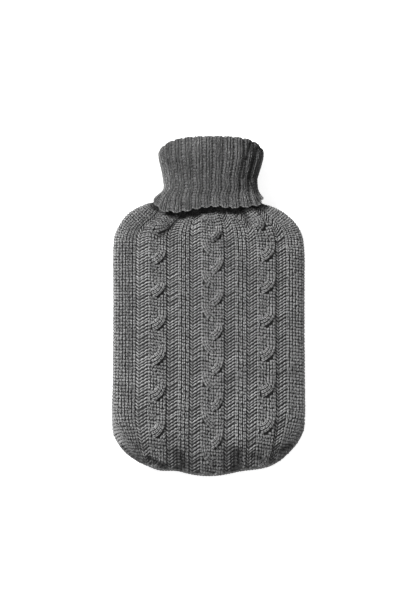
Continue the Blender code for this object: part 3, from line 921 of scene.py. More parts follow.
def chart_relief(places, y):
    """The relief of the front at the places q across the body and heights y.

    The wale at such a place leans, so it is found by small corrections.
    """
    unleaned = np.broadcast_to(places[:, None], y.shape).copy()
    for _ in range(UNLEAN_ROUNDS):
        unleaned += places[:, None] - leaned(unleaned, y)
    wales = net_wales(-SPARE_WALES, FRONT_WALES + SPARE_WALES)
    wale = np.interp(unleaned, front_place(wales), wales)
    rise = np.zeros(y.shape)
    for (group, _, count, _), start in zip(FRONT_CHART, GROUP_WALE):
        cloth = FRONT[group]
        here = (wale >= start) & (wale <= start + count)
        if start == 0:
            here |= wale < 0
        if start + count == FRONT_WALES:
            here |= wale > FRONT_WALES
        near = np.round((wale - cloth.first[0]) * FINE).astype(int)
        near = np.clip(near, 0, len(cloth.points) - 1)
        course = np.zeros(y.shape)
        for k in np.unique(near[here]):
            on = here & (near == k)
            falling = np.minimum.accumulate(cloth.points[k, :, 1])
            course[on] = np.interp(-y[on], -falling, NET_COURSES)
        rise[here] = front_relief(group, wale[here], course[here])
    return rise


# %% The front's ground
ground_places = front_place(np.arange(0, FRONT_WALES * 2 + 1) / 2)
net = grid_to_seam(ground_places, GROUND_ROWS, YARN_INSET, True)
front_cloth = Cloth(net, np.ones(net.shape[:2]), 0, 0, 1.0)
share = soft_step((net[..., 2] - SEAM_HEIGHT) / RELIEF_FADE)
ground_rise = chart_relief(ground_places, net[..., 1]) * share
outer = net + front_cloth.normals * (ground_rise - GROUND_BELOW)[..., None]
inner = net - front_cloth.normals * CLOTH
front_ground = mesh_object("front_ground", *closed_sheet(outer, inner))
fit_out(front_ground, SHADED_GROUND)
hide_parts("front_panel")
print(f"the front's relief rises up to {ground_rise.max() * 1000:.1f} mm")

# %% [markdown]
# ## One stitch
# A knit stitch shows as a small V: two legs of yarn that come out of the stitch below
# and go in behind the next. A leg is modelled once, as a ball turned on its side and
# drawn out to a grain, with few faces because there are thousands of copies. The collar
# and the back show less of each leg, so they have plainer grains.
# %% A grain of yarn


def yarn_grain(sides, rings):
    """Points of a closed grain, from -1 to 1 along Y, its faces, and its painted shade."""
    bpy.ops.object.select_all(action="DESELECT")
    bpy.ops.mesh.primitive_uv_sphere_add(
        segments=sides, ring_count=rings + 1, radius=1.0, rotation=(-np.pi / 2, 0, 0)
    )
    ball = bpy.context.object
    bpy.ops.object.transform_apply(location=False, rotation=True, scale=False)
    points = np.array([v.co[:] for v in ball.data.vertices])
    # Blender lists the ball's faces in another order each time, so they are sorted.
    faces = sorted(list(p.vertices) for p in ball.data.polygons)
    bpy.data.objects.remove(ball, do_unlink=True)
    quads = np.array([f for f in faces if len(f) == 4])
    triangles = np.array([f for f in faces if len(f) == 3])
    # painted shade: darker towards the grain's ends and on its underside, where it goes into the
    # cloth
    painted_shade = np.clip(points[:, 1] ** 4 + np.maximum(-points[:, 2], 0) * 0.5, 0, 1)
    return points, quads, triangles, painted_shade


def round_and_along(points, faces):
    """A yarn UV for each face corner: turns round the yarn, and the way along it."""
    turn = np.arctan2(points[:, 2], points[:, 0]) / (2 * np.pi)
    uv = np.stack([turn[faces], points[faces, 1]], axis=-1)
    poles = np.abs(points[faces, 1]) > 0.999
    middle = np.where(poles, np.nan, uv[..., 0])
    near = np.nanmax(middle, axis=1, keepdims=True)
    uv[..., 0] = np.where(near - uv[..., 0] > 0.5, uv[..., 0] + 1, uv[..., 0])
    uv[..., 0] = np.where(poles, near, uv[..., 0])
    return uv


FULL_GRAIN = yarn_grain(5, 4)
PLAIN_GRAIN = yarn_grain(4, 3)     # for the outside of the collar
BACK_GRAIN = yarn_grain(4, 2)      # for the back and the collar's inside
print("a leg has", len(FULL_GRAIN[1]) * 2 + len(FULL_GRAIN[2]), "triangles")

# %% [markdown]
# ## Painted shade
# Yarn looks darker where its neighbours, the hem or a crease hide it from the light, and
# where the cloth turns away. On so many small pieces that is cheaper to paint than to
# model, so each point carries a painted shade value, which the wool turns into a deeper tone.
# It is worked out from the place on the cover, so it stays the same in every view.
# %% Shade of the front
DEEPEST_CREASE = 0.002         # a deeper crease gets no darker
CREASE_SHADE = 450.0           # painted shade in a crease, for each metre of its dip
HEM_SHADE = 1.5                # painted shadow where the hem covers it,
BOTTOM_SHADE = 0.40            # painted shade where the cloth turns under to the seam,
BOTTOM_SHADE_Y, BOTTOM_SHADE_FADE = -0.126, 0.040
SHOULDER_SHADE = 0.24          # and where it turns away from the light at the shoulders
SHOULDER_Y, SHOULDER_Y_FADE = 0.066, 0.024
SHOULDER_X, SHOULDER_X_FADE = 0.040, 0.030
TONE_CHANGE = 0.14             # how much the yarn's tone changes from stitch to stitch


def front_shade(points):
    """The painted shade of the front's yarn, from its place."""
    x, y = points[..., 0], points[..., 1]
    dips = np.clip(-folds_at(FOLDS, x, y), 0, DEEPEST_CREASE)
    turns_under = BOTTOM_SHADE * soft_step((BOTTOM_SHADE_Y - y) / BOTTOM_SHADE_FADE)
    high_up = soft_step((y - SHOULDER_Y) / SHOULDER_Y_FADE)
    turns_away = SHOULDER_SHADE * high_up * soft_step((np.abs(x) - SHOULDER_X) / SHOULDER_X_FADE)
    return HEM_SHADE * dips_under_hem(x, y) + CREASE_SHADE * dips + turns_under + turns_away


# %% Copies of a shape
def copies(name, shape, sets, shade=0.0, shade_at=None):
    """One object from copies of a shape: sets holds arrays of points[copy, point].

    Shade is the painted shade of every copy, round which its tone changes at random, and shade_at
    adds painted shade from the place.
    """
    template, quads, triangles, painted_shade = shape
    placed = np.concatenate(sets)
    count = len(placed)
    offset = (np.arange(count) * len(template))[:, None, None]
    quads_uv, triangles_uv = (round_and_along(template, f) for f in (quads, triangles))
    start = random.random((count, 1, 1))
    # painted shade of each point: the shape's own, the copy's and its place's, with a random
    # change of tone from stitch to stitch
    deep = painted_shade + random.normal(shade, TONE_CHANGE, (count, 1))
    if shade_at:
        deep = deep + shade_at(placed)
    uvs = []
    for uv in (quads_uv, triangles_uv):
        uv = np.repeat(uv.reshape(1, -1, 2), count, axis=0)
        uv[..., 1] += start[:, :, 0]
        uvs.append(uv.reshape(-1, 2))
    return mesh_object(
        name,
        placed.reshape(-1, 3),
        (quads[None] + offset).reshape(-1, 4),
        (triangles[None] + offset).reshape(-1, 3),
        np.concatenate(uvs),
        deep.ravel(),
    )


def dress(pieces, slot, name, *made_from):
    """A piece of copies for a sheet: it is fitted out and kept in the sheet's list."""
    piece = copies(name, *made_from)
    fit_out(piece, YARN)
    pieces.append(piece)


# %% [markdown]
# ## Knit stitches
# The two legs lean apart, arch out of the cloth and differ a little from stitch to
# stitch, as hand knitting does. They are laid on the net in wales and courses, so they
# narrow where the wales draw in. Copies that follow a net keep every stitch in its wale,
# which stitches scattered over a surface would not.
# %% Laying knit stitches
# How far a leg lies from the wale's middle, how far it leans and half its width, in
# wales; half its length in courses; half its thickness and how far it arches, in metres.
BODY_LEG = (0.195, 0.060, 0.190, 0.54, 0.00120, 0.00090)
CROSSING_LEG = (0.195, 0.055, 0.190, 0.62, 0.00120, 0.00070)
BAND_LEG = (0.185, 0.050, 0.170, 0.58, 0.00120, 0.00070)
LEG_SWAY = 0.030               # how much the legs differ sideways, in wales,
LEG_SLIP = 0.090               # along the wale, in courses,
LEG_PLUMP = 0.08               # and in thickness
LONGEST_LEG = 0.0060           # longer ones, in the bottom corners, are pulled out of shape
SEAM_SLACK = 0.0016            # and none may stand out further than this past the seam


def knit_legs(cloth, grain, wales, courses, follow, leg):
    """Both legs of a stitch at each wale and course; follow gives their true place."""
    spread, lean, width, reach, thick, bulge = leg
    x, y, z = grain[0].T
    legs = []
    for side in (-1, 1):
        sway = random.normal(0, LEG_SWAY, (len(wales), 1))
        slip = random.normal(0, LEG_SLIP, (len(wales), 1))
        plump = 1 + random.normal(0, LEG_PLUMP, (len(wales), 1))
        across = side * (spread + lean * y) + width * x * plump + sway
        along = courses[:, None] + slip - reach * y
        out = bulge * (1 - y * y) + thick * z * plump
        place, course, lift = follow(wales[:, None], across, along)
        points = cloth.place(place, course, lift + out)
        whole = np.ptp(points, axis=1).max(axis=1) < LONGEST_LEG
        seam_y = bottom_edge(points[..., 0] - np.sign(points[..., 0]) * SEAM_SLACK)
        within = (points[..., 1] > seam_y - SEAM_SLACK).all(axis=1)
        legs.append(points[whole & within])
    return legs


# %% Along a wale and along a crossing
CROSSING_STEP = 0.4            # the first stitch of a crossing lies this far along it


def along_net(group):
    """Where the stitches of a plain band or rib lie: they stay in their wale."""

    def follow(wale, across, course):
        place = wale + across
        course = course + sway_of(np.broadcast_to(wale, course.shape))
        return place, course, front_relief(group, place, course)

    return follow


def along_crossing(group, crossing, turn):
    """The same for the strand that crosses at the course turn, whose middle wale is 0.

    Its stitches turn with it, and their course is the length along it.
    """
    line_wale, line_course, share = crossing_line(group, *crossing[1:])
    pitch = wale_in_courses(group)
    run = np.stack([np.gradient(line_wale) * pitch, np.gradient(line_course)])
    length = np.concatenate([[0], np.cumsum(np.hypot(*run))[:-1]])
    way = run / np.hypot(*run)
    cloth = FRONT[group]

    def follow(wale, across, along):
        here = np.interp(along, length, share)
        narrow = CROSSING_NARROW * np.sin(np.pi * np.clip(here, 0, 1))
        offset = (wale + across) * (1 - narrow)
        over, down = (np.interp(along, length, part) for part in way)
        place = GROUP_START[group] + np.interp(along, length, line_wale) + offset * down
        course = turn + np.interp(along, length, line_course) - offset * over * pitch
        course = course + sway_of(place)
        base = cloth.place(place, course, 0.0)
        lift = crossing_rise(here) * strand_dome(offset, CROSSING_HALF)
        lift = lift + fold_rise(base[..., 0], base[..., 1])
        return place, course, lift * ends_softly(cloth, place, course)

    return follow, length[-1]


# %% Stitches of a crossing
def crossing_stitches(group, crossing, turn):
    """The legs of the three wales that cross at the course turn, where cloth is."""
    follow, length = along_crossing(group, crossing, turn)
    cloth = FRONT[group]
    legs = []
    for offset in (-1.0, 0.0, 1.0):
        along = np.arange(CROSSING_STEP, length, 1.0)
        place, course, _ = follow(offset, 0.0, along)
        along = along[cloth.holds(place, course - 0.7) & cloth.holds(place, course + 0.7)]
        if len(along):
            wales = np.full(len(along), offset)
            legs += knit_legs(cloth, FULL_GRAIN, wales, along, follow, CROSSING_LEG)
    return legs


def covered(group, wale, course):
    """Whether a crossing strand hides the panel of its cable at this wale and course."""
    hidden = np.zeros(np.shape(wale), bool)
    for crossing in CROSSINGS[group]:
        below, past, share = beside_crossing(group, crossing, wale, course)
        across = (below > OVERLAP - CROSSING_HALF) & (below < CROSSING_HALF + UNDERCUT)
        hidden |= across & (past < END_SLACK) & (share > -0.1) & (share < 0.97)
    return hidden


# %% Knit stitches of the front
ALL_COURSES = np.arange(FIRST_COURSE, LAST_COURSE)
ALL_TURNS = np.arange(-4, 10)  # the crossings of a cable, up to both ends of the cloth


def stitches_on(cloth, wales):
    """Every wale and course where a whole stitch fits on the cloth."""
    wale, course = (a.ravel() for a in np.meshgrid(wales, ALL_COURSES, indexing="ij"))
    fits = cloth.holds(wale, course + 0.5) & cloth.holds(wale, course - 0.5)
    return wale[fits], course[fits].astype(float)


# painted light: the knit groups are painted lighter than the purl ground, the raised cables most
KNIT_SHADE = {"knit": -0.08, "rib": -0.16, "rope": -0.22, "plait": -0.24}
front_pieces = []
for (group, stitch, count, _), start in zip(FRONT_CHART, GROUP_WALE):
    cloth = FRONT[group]
    if stitch in ("knit", "rib"):
        wales = start + 0.5 + np.arange(count)
        if group == "left_band":
            wales = np.concatenate([wales[0] - np.arange(SPARE_WALES, 0, -1), wales])
        if group == "right_band":
            wales = np.concatenate([wales, wales[-1] + 1 + np.arange(SPARE_WALES)])
        on_band = stitches_on(cloth, wales)
        leg = BAND_LEG if stitch == "knit" else BODY_LEG
        legs = knit_legs(cloth, FULL_GRAIN, *on_band, along_net(group), leg)
    elif stitch in ("rope", "plait"):
        wale, course = stitches_on(cloth, start + 0.5 + np.arange(count))
        seen = ~covered(group, wale, course)
        panel = along_net(group)
        legs = knit_legs(cloth, FULL_GRAIN, wale[seen], course[seen], panel, BODY_LEG)
        for crossing in CROSSINGS[group]:
            for turn in crossing[0] + CABLE_COURSES * ALL_TURNS:
                legs += crossing_stitches(group, crossing, turn)
    else:
        continue
    shade = KNIT_SHADE[stitch]
    dress(front_pieces, "cabled_knit", group, FULL_GRAIN, legs, shade, front_shade)

# %% [markdown]
# ## Purl grounds
# Between the cables the wrong side of the knitting shows: each course is a bar that
# waves up over every wale. One bar spans a group of three wales and tucks under the knit
# wales beside it. It could be made of single loops too, but a bar is smoother and cheaper.
# %% The shape of a bar
BAR_SIDES = 5
BAR_WAVE = 0.12                # how far it waves, in courses
BAR_SLIP, BAR_PLUMP = 0.11, 0.09   # how much the bars differ in place and thickness
BAR_WAIST = 0.76               # how narrow a bar is between two wales
BAR_TUCK = 0.95                # how far each end runs under its neighbour, in wales,
BAR_TUCK_FADE = 0.2            # how soon it goes down there
BAR_TUCK_DEPTH = 0.0003        # and how deep
# painted light: the purl bars are painted a little lighter all over
PURL_SHADE = -0.16
# Half its width in courses; half its thickness, its bump and how deep it lies, in metres.
BODY_BAR = (0.315, 0.00105, 0.00105, 0.0007)


def bar_shape(span, rings):
    """Points of a closed bar: its way across in wales, and round it, with its faces."""
    across = np.repeat(np.linspace(-BAR_TUCK, span + BAR_TUCK, rings), BAR_SIDES)
    turn = np.tile(np.arange(BAR_SIDES) / BAR_SIDES * 2 * np.pi, rings)
    points = np.stack([np.cos(turn), across, np.sin(turn)], axis=-1)
    caps = np.array([[0, -BAR_TUCK, 0], [0, span + BAR_TUCK, 0]])
    net = np.arange(rings * BAR_SIDES).reshape(rings, BAR_SIDES)
    side = np.roll(net, -1, axis=1)
    quads = np.stack([net[:-1], side[:-1], side[1:], net[1:]], axis=-1).reshape(-1, 4)
    low, high = rings * BAR_SIDES, rings * BAR_SIDES + 1
    ends = [(side[0, k], net[0, k], low) for k in range(BAR_SIDES)]
    ends += [(net[-1, k], side[-1, k], high) for k in range(BAR_SIDES)]
    points = np.concatenate([points, caps])
    # painted shade: each bar is darker where it passes between two wales and at its ends, and on
    # its underside
    between = (1 + np.cos(points[:, 1] * 2 * np.pi)) / 2
    painted_shade = np.clip(between**2 * 0.62 + np.maximum(-points[:, 2], 0) * 0.5, 0, 1)
    return points, quads, np.array(ends), painted_shade


# %% Laying the bars
def purl_bars(cloth, shape, wale, courses, span, relief, sway, bar):
    """A bar for each course of a purl group that starts at wale."""
    bar_width, thick, bump_rise, sink = bar
    x, across, z = shape[0].T
    wave = -BAR_WAVE * np.cos((across - 0.5) * 2 * np.pi)
    bump = (1 - np.cos(across * 2 * np.pi)) / 2
    slip = random.normal(0, BAR_SLIP, (len(courses), 1))
    plump = 1 + random.normal(0, BAR_PLUMP, (len(courses), 1))
    place = wale + across[None, :] + np.zeros((len(courses), 1))
    width = bar_width * (BAR_WAIST + (1 - BAR_WAIST) * bump)
    course = courses[:, None] + slip + wave + sway(place) + width * x * plump
    past = soft_step((np.abs(across - span / 2) - span / 2) / BAR_TUCK_FADE)
    height = thick * z * plump + bump_rise * bump - sink - BAR_TUCK_DEPTH * past
    return [cloth.place(place, course, relief(place, course) * (1 - past) + height)]


# %% Purl grounds of the front
bar = bar_shape(3, 19)
for (group, stitch, count, _), start in zip(FRONT_CHART, GROUP_WALE):
    if stitch == "purl":

        def group_rise(wale, course, group=group):
            return front_relief(group, wale, course)

        cloth = FRONT[group]
        ends = [stitches_on(cloth, [start + edge])[1] for edge in (0, count)]
        courses = np.intersect1d(*ends)
        bars = purl_bars(cloth, bar, start, courses, count, group_rise, sway_of, BODY_BAR)
        dress(front_pieces, "cabled_knit", group, bar, bars, PURL_SHADE, front_shade)

# %% [markdown]
# ## The back
# The back doesn't show in the photograph. It is plain knitting, as on most such covers:
# flat where it lies and turned up to the seams. Its yarn is inside the solid's skin, so
# it rests on the floor and doesn't sink in.
# %% Back cloth
BACK_WALES = 64
BACK_INSET = 0.0017            # so that its yarn ends at the solid's skin
BACK_GROUND_BELOW = 0.0002
BACK_LEG = (0.205, 0.080, 0.190, 0.58, 0.00090, 0.00050)


def back_places(wales):
    """The place q of each back wale, evenly spaced round the section at mid-height."""
    q = np.sin(np.linspace(-np.pi / 2, np.pi / 2, 600))
    length = length_along(body_point(q, np.zeros(600), BACK_INSET, False))
    place = np.interp(wales / BACK_WALES * length[-1], length, q)
    return place + past_seams(wales, BACK_WALES)


back_wales = net_wales(-SPARE_WALES, BACK_WALES + SPARE_WALES)
net, inside = square_net(*body_columns(back_places(back_wales), BACK_INSET, False), fan=0.0)
BACK = Cloth(net, inside, -SPARE_WALES, FIRST_COURSE, 1.0)


def along_back(wale, across, course):
    """A stitch of the back stays in its wale."""
    return wale + across, course, np.zeros(np.shape(course))


# %% The back's ground
net = grid_to_seam(back_places(np.arange(BACK_WALES + 1)), BACK_ROWS, BACK_INSET, False)
back_cloth = Cloth(net, np.ones(net.shape[:2]), 0, 0, -1.0)
outer = net - back_cloth.normals * BACK_GROUND_BELOW
inner = net - back_cloth.normals * CLOTH
back_ground = mesh_object("back_ground", *closed_sheet(outer, inner))
fit_out(back_ground, SHADED_GROUND)
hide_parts("back_panel")

# %% Knit stitches of the back
back_pieces = []
half = BACK_WALES // 2
for name, wales in (
    ("back_left", np.arange(-SPARE_WALES, half) + 0.5),
    ("back_right", np.arange(half, BACK_WALES + SPARE_WALES) + 0.5),
):
    legs = knit_legs(BACK, BACK_GRAIN, *stitches_on(BACK, wales), along_back, BACK_LEG)
    dress(back_pieces, "plain_knit", name, BACK_GRAIN, legs)

# %% [markdown]
# ## The collar
# A ribbed tube rises from the neck, turns over at the top and hangs outside itself. Its
# ribs are three knit wales and one purl wale, which stand out and in by turns and fan out
# towards the hem. The net here runs up the outside, over the turned edge and down inside.
# %% Collar sections
COLLAR_COLUMNS = ("y", "left", "right", "front", "back", "square", "gap")
COLLAR_SECTIONS = (
    (0.0980, -0.0680, 0.0690, 0.0462, -0.0005, 2.9, 0.0080),
    (0.1060, -0.0640, 0.0650, 0.0456, -0.0005, 2.8, 0.0070),
    (0.1130, -0.0596, 0.0602, 0.0448, -0.0004, 2.6, 0.0060),
    (0.1172, -0.0552, 0.0564, 0.0440, -0.0002, 2.4, 0.0040),
    (0.1215, -0.0500, 0.0538, 0.0434, 0.0004, 2.3, 0.0022),
    (0.1257, -0.0476, 0.0526, 0.0430, 0.0008, 2.3, 0.0014),
    (0.1342, -0.0484, 0.0522, 0.0430, 0.0008, 2.3, 0.0012),
    (0.1427, -0.0497, 0.0544, 0.0434, 0.0004, 2.3, 0.0012),
    (0.1512, -0.0517, 0.0569, 0.0442, -0.0002, 2.3, 0.0012),
    (0.1600, -0.0533, 0.0587, 0.0450, -0.0005, 2.3, 0.0012),
    (0.1800, -0.0535, 0.0589, 0.0450, -0.0005, 2.3, 0.0012),
)
WAIST_Y = COLLAR_SECTIONS[5][0]
RIB_UPRIGHT = 1.1              # how upright the middle ribs stay under the waist
SOLID_CLOTH = 0.0028           # the thickness that the collar's solid has
BACK_HEM_Y = 0.1085
SIDE_HEM_Y = 0.1158
FRONT_HEM_TURN = 0.62          # where round the collar the hem starts to climb to the side
BACK_HEM_TURN = 0.92
FOLD_TOP_Y = 0.1766            # the turned edge is highest in its middle
FOLD_ARCH = 0.0060
FOLD_CORNER_DROP = 0.0066
FOLD_LEFT_DROP = 0.0012


def collar_at(name, y):
    """A named size of the collar's section at a height y."""
    return between_rows(COLLAR_SECTIONS, COLLAR_COLUMNS, name, y)


# %% Round the collar's section
def section_loop(angle, y, inset):
    """Points of the collar's section at height y, drawn in by inset all round."""
    left, right = collar_at("left", y) + inset, collar_at("right", y) - inset
    front, back = collar_at("front", y) - inset, collar_at("back", y) + inset
    power = 2 / collar_at("square", y)
    cos, sin = np.cos(angle), np.sin(angle)
    x = (left + right) / 2 + (right - left) / 2 * np.sign(cos) * np.abs(cos) ** power
    z = (front + back) / 2 + (front - back) / 2 * np.sign(sin) * np.abs(sin) ** power
    return np.stack([x, np.broadcast_to(y, x.shape), z], axis=-1)


def flared(angle, y):
    """The angle at which a rib stands at y: under the waist the outer ribs flare first."""
    waist = collar_at("right", WAIST_Y) - collar_at("left", WAIST_Y)
    stays = (waist / (collar_at("right", y) - collar_at("left", y))) ** RIB_UPRIGHT
    stays = np.where(y < WAIST_Y, stays, 1)
    share = np.abs(np.cos(angle)) ** (2 / collar_at("square", WAIST_Y))
    share = share * (stays + (1 - stays) * share**3)
    cos = np.clip(share ** (collar_at("square", y) / 2), 0, 1)
    sin = np.sqrt(1 - cos**2)
    return np.arctan2(np.sign(np.sin(angle)) * sin, np.sign(np.cos(angle)) * cos)


# %% The collar's hem and turned edge
def hem_line(angle):
    """The y of the collar's hem at each angle."""
    hem_y = COLLAR_SECTIONS[1][0]
    x = section_loop(flared(angle, hem_y), hem_y, 0.0)[:, 0]
    front = between_rows(FRONT_HEM, HEM_COLUMNS, "y", x)
    in_front = np.sin(angle) > 0
    y = np.where(in_front, front, BACK_HEM_Y)
    turn = np.where(in_front, FRONT_HEM_TURN, BACK_HEM_TURN)
    to_side = soft_step(1 - np.abs(np.sin(angle)) / turn)
    return y + (SIDE_HEM_Y - y) * to_side


def turned_edge(angle):
    """The y of the middle of the collar's turned edge at each angle."""
    side = np.cos(angle)
    y = FOLD_TOP_Y - FOLD_ARCH * side**2 - FOLD_CORNER_DROP * side**8
    return y - FOLD_LEFT_DROP * np.clip(-side, 0, 1)


# %% Ribs of the collar
RIB_COUNT = 24
RIB_WALES = 4                  # three knit and one purl
GROOVE_WALE = 3
COLLAR_WALES = RIB_COUNT * RIB_WALES
HEM_SCALLOP = 0.0011           # how far the hem's ribs hang below its grooves
GROOVE_HALF = 0.85
GROOVE_CLOSED = 0.16           # the ribs close up, so that their purl wales are narrow
COLLAR_INSET = 0.0012
COLLAR_REST = 0.0016           # its underside lies flat, this far up with its yarn
COLLAR_PITCH = 0.00285
COLLAR_LAST = 56               # courses from the hem, over the top and down inside
FOLD_COURSE = 26.5             # the one at the turned edge
OUTSIDE_STEPS, FOLD_STEPS, INSIDE_STEPS = 70, 18, 60
NECK_OVERLAP = 0.0035          # how far the inside runs on behind the edge of the neck
NECK_TUCK = 0.0045             # and how far in it goes there


def ring_angles(wale):
    """The angle round the collar at which a wale stands."""
    angle = np.linspace(0, 2 * np.pi, 1441)
    length = length_along(section_loop(angle, WAIST_Y, 0.0))
    closed = wale - GROOVE_CLOSED * np.sin((wale - GROOVE_WALE) / RIB_WALES * 2 * np.pi)
    turns = np.floor(closed / COLLAR_WALES)
    part = closed / COLLAR_WALES - turns
    return np.interp(part * length[-1], length, angle) + turns * 2 * np.pi


def ridge(wale):
    """1 on a rib's ridge and -1 in its groove."""
    half = RIB_WALES / 2
    away = (wale - GROOVE_WALE + half) % RIB_WALES - half
    return 1 - 2 * np.exp(-((away / GROOVE_HALF) ** 2))


# %% The collar's net
def collar_net(wales):
    """Points[wale, course] up the outside, over the turned edge and down inside.

    With them come where cloth is, and the course at which each wale ends.
    """
    angle = ring_angles(wales)
    hem = hem_line(angle) - HEM_SCALLOP * ridge(wales)
    fold = turned_edge(angle)
    points = []
    for share in np.linspace(0, 1, OUTSIDE_STEPS):
        y = hem + (fold - hem) * share
        points.append(section_loop(flared(angle, y), y, COLLAR_INSET))
    middle = SOLID_CLOTH + collar_at("gap", fold) / 2
    radius = middle - COLLAR_INSET
    for tilt in np.linspace(0, np.pi, FOLD_STEPS)[1:]:
        y = fold + radius * np.sin(tilt)
        points.append(section_loop(angle, y, middle - radius * np.cos(tilt)))
    neck = NECK_Y - NECK_OVERLAP
    for share in np.linspace(1, 0, INSIDE_STEPS)[1:]:
        y = neck + (fold - neck) * share
        inset = 2 * SOLID_CLOTH + collar_at("gap", y) - COLLAR_INSET
        tucked = soft_step((NECK_Y + NECK_OVERLAP - y) / (2 * NECK_OVERLAP))
        points.append(section_loop(angle, y, inset + NECK_TUCK * tucked))
    points = np.stack(points, axis=1)
    points[..., 2] = np.maximum(points[..., 2], COLLAR_REST)
    courses = np.arange(COLLAR_LAST * FINE + 1) / FINE
    laid, inside, ends = [], [], []
    for wale_points in points:
        length = length_along(wale_points, LEAST_STEP)
        laid.append(points_at(wale_points, length, courses * COLLAR_PITCH))
        inside.append(courses * COLLAR_PITCH <= length[-1])
        ends.append(length[-1] / COLLAR_PITCH)
    return np.stack(laid), np.stack(inside), np.array(ends)


# %% The net of the whole collar
collar_wales = net_wales(-1, COLLAR_WALES + 1)
collar_points, collar_inside, collar_ends = collar_net(collar_wales)
COLLAR = Cloth(collar_points, collar_inside, -1, 0, -1.0)
print(f"the collar's wales are {collar_ends.min():.0f} to {collar_ends.max():.0f} courses long")

# %% Ribs and creases of the collar
RIB_DEPTH = 0.0005
RIB_DEEPER = 0.0003            # how much deeper the ribs are at the right
RIB_DEEPER_X, RIB_DEEPER_FADE = 0.020, 0.020
RIB_FLATTER = 0.45             # how much flatter they are where the collar turns over
RIB_FLATTER_COURSES = 3.5
COLLAR_CREASE_SHADE = 240.0
RIGHT_SIDE_SHADE = 0.25            # painted shade: the collar's right side, turned from the light, is painted darker
RIGHT_SIDE_X, RIGHT_SIDE_X_FADE = 0.026, 0.012
RIGHT_SIDE_Y, RIGHT_SIDE_Y_FADE = 0.118, 0.016
CREASE_Z, CREASE_SHADE_Z = 0.030, 0.028    # the creases are on the front, above this
CREASE_Z_FADE = 0.006
COLLAR_FOLDS = (               # x and y from, x and y to, half the width, and the rise
    (0.0444, 0.1714, 0.0402, 0.1555, 0.0020, -0.0016),
    (0.0402, 0.1555, 0.0370, 0.1342, 0.0018, -0.0014),
    (0.0519, 0.1661, 0.0466, 0.1502, 0.0022, -0.0019),
    (0.0466, 0.1502, 0.0434, 0.1363, 0.0020, -0.0018),
    (0.0434, 0.1363, 0.0466, 0.1289, 0.0018, -0.0016),
    (0.0466, 0.1289, 0.0529, 0.1108, 0.0018, -0.0014),
    (0.0561, 0.1576, 0.0508, 0.1427, 0.0020, -0.0019),
    (0.0508, 0.1427, 0.0487, 0.1342, 0.0020, -0.0017),
    (-0.0470, 0.1608, -0.0427, 0.1491, 0.0022, -0.0016),
    (-0.0321, 0.1580, -0.0342, 0.1076, 0.0013, -0.0009),
    (-0.0459, 0.1363, -0.0534, 0.1055, 0.0013, -0.0009),
    (-0.0172, 0.1661, -0.0193, 0.1076, 0.0013, -0.0007),
)


# %% Relief and shade of the collar
def collar_relief(wale, course):
    """How far the collar's ground stands out at a wale and course."""
    wale, course = np.broadcast_arrays(wale, course)
    base = COLLAR.place(wale, course, 0.0)
    x, y, z = np.moveaxis(base, -1, 0)
    deeper = RIB_DEEPER * soft_step((x - RIB_DEEPER_X) / RIB_DEEPER_FADE)
    turns = (course - FOLD_COURSE) / RIB_FLATTER_COURSES
    rise = (RIB_DEPTH + deeper) * ridge(wale) * (1 - RIB_FLATTER * np.exp(-(turns**2)))
    on_front = soft_step((z - CREASE_Z) / CREASE_Z_FADE) * soft_step((FOLD_COURSE - course) / 2)
    return rise + on_front * folds_at(COLLAR_FOLDS, x, y)


def collar_shade(points):
    """The painted shade of the collar's yarn in the creases of its front and on its right side,
    away from the light.
    """
    x, y, z = np.moveaxis(points, -1, 0)
    on_front = soft_step((z - CREASE_SHADE_Z) / CREASE_Z_FADE)
    dips = np.clip(-folds_at(COLLAR_FOLDS, x, y), 0, DEEPEST_CREASE)
    right_side = RIGHT_SIDE_SHADE * soft_step((x - RIGHT_SIDE_X) / RIGHT_SIDE_X_FADE)
    right_side = right_side * soft_step((y - RIGHT_SIDE_Y) / RIGHT_SIDE_Y_FADE)
    return COLLAR_CREASE_SHADE * dips * on_front + right_side


# %% Collar cloth
RING_COURSES = 60
COLLAR_OUTER, COLLAR_INNER = 0.0004, 0.0014    # how far under the relief its sides lie

ring_wales = np.arange(COLLAR_WALES * 2) / 2
last = np.interp(ring_wales, collar_wales, collar_ends)
ring_courses = np.linspace(0, 1, RING_COURSES) * last[:, None]
ring_wales = ring_wales[:, None]
rise = collar_relief(ring_wales, ring_courses)
outer = COLLAR.place(ring_wales, ring_courses, rise - COLLAR_OUTER)
inner = COLLAR.place(ring_wales, ring_courses, np.minimum(rise, 0) - COLLAR_INNER)
collar_ground = mesh_object("collar_ground", *closed_sheet(outer, inner, ring=True))
fit_out(collar_ground, SHADED_GROUND)
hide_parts("collar")

# %% [markdown]
# ## Stitches of the collar
# The ribs have the same stitches as the front, but thinner and tighter: three wales of
# knit legs on each ridge, and in the groove between two ridges the short bars of one purl
# wale. They run over the turned edge and a little way down inside, as far as one can see.
# %% Collar stitches
COLLAR_LEG = (0.190, 0.040, 0.150, 0.90, 0.00075, 0.00015)
INSIDE_COURSES = 10            # how far down inside the stitches go
COLLAR_SHADE = 0.44            # the tighter ribs hold less light


def along_collar(wale, across, course):
    """A knit stitch on a ridge of the collar."""
    place = wale + across
    return place, course, collar_relief(place, course)


def level(wale):
    """Courses of the collar don't sway."""
    return np.zeros(np.shape(wale))


collar_pieces = []
ridge_wales = np.array([w for w in range(COLLAR_WALES) if w % RIB_WALES != GROOVE_WALE], float)
for name, grain, first, last_course in (
    ("collar_knit_outside", PLAIN_GRAIN, 0.6, FOLD_COURSE + 2),
    ("collar_knit_inside", BACK_GRAIN, FOLD_COURSE + 2.1, FOLD_COURSE + INSIDE_COURSES),
):
    courses = np.arange(first, last_course)
    wale, course = (a.ravel() for a in np.meshgrid(ridge_wales, courses, indexing="ij"))
    legs = knit_legs(COLLAR, grain, wale, course, along_collar, COLLAR_LEG)
    dress(collar_pieces, "ribbed_knit", name, grain, legs, COLLAR_SHADE, collar_shade)

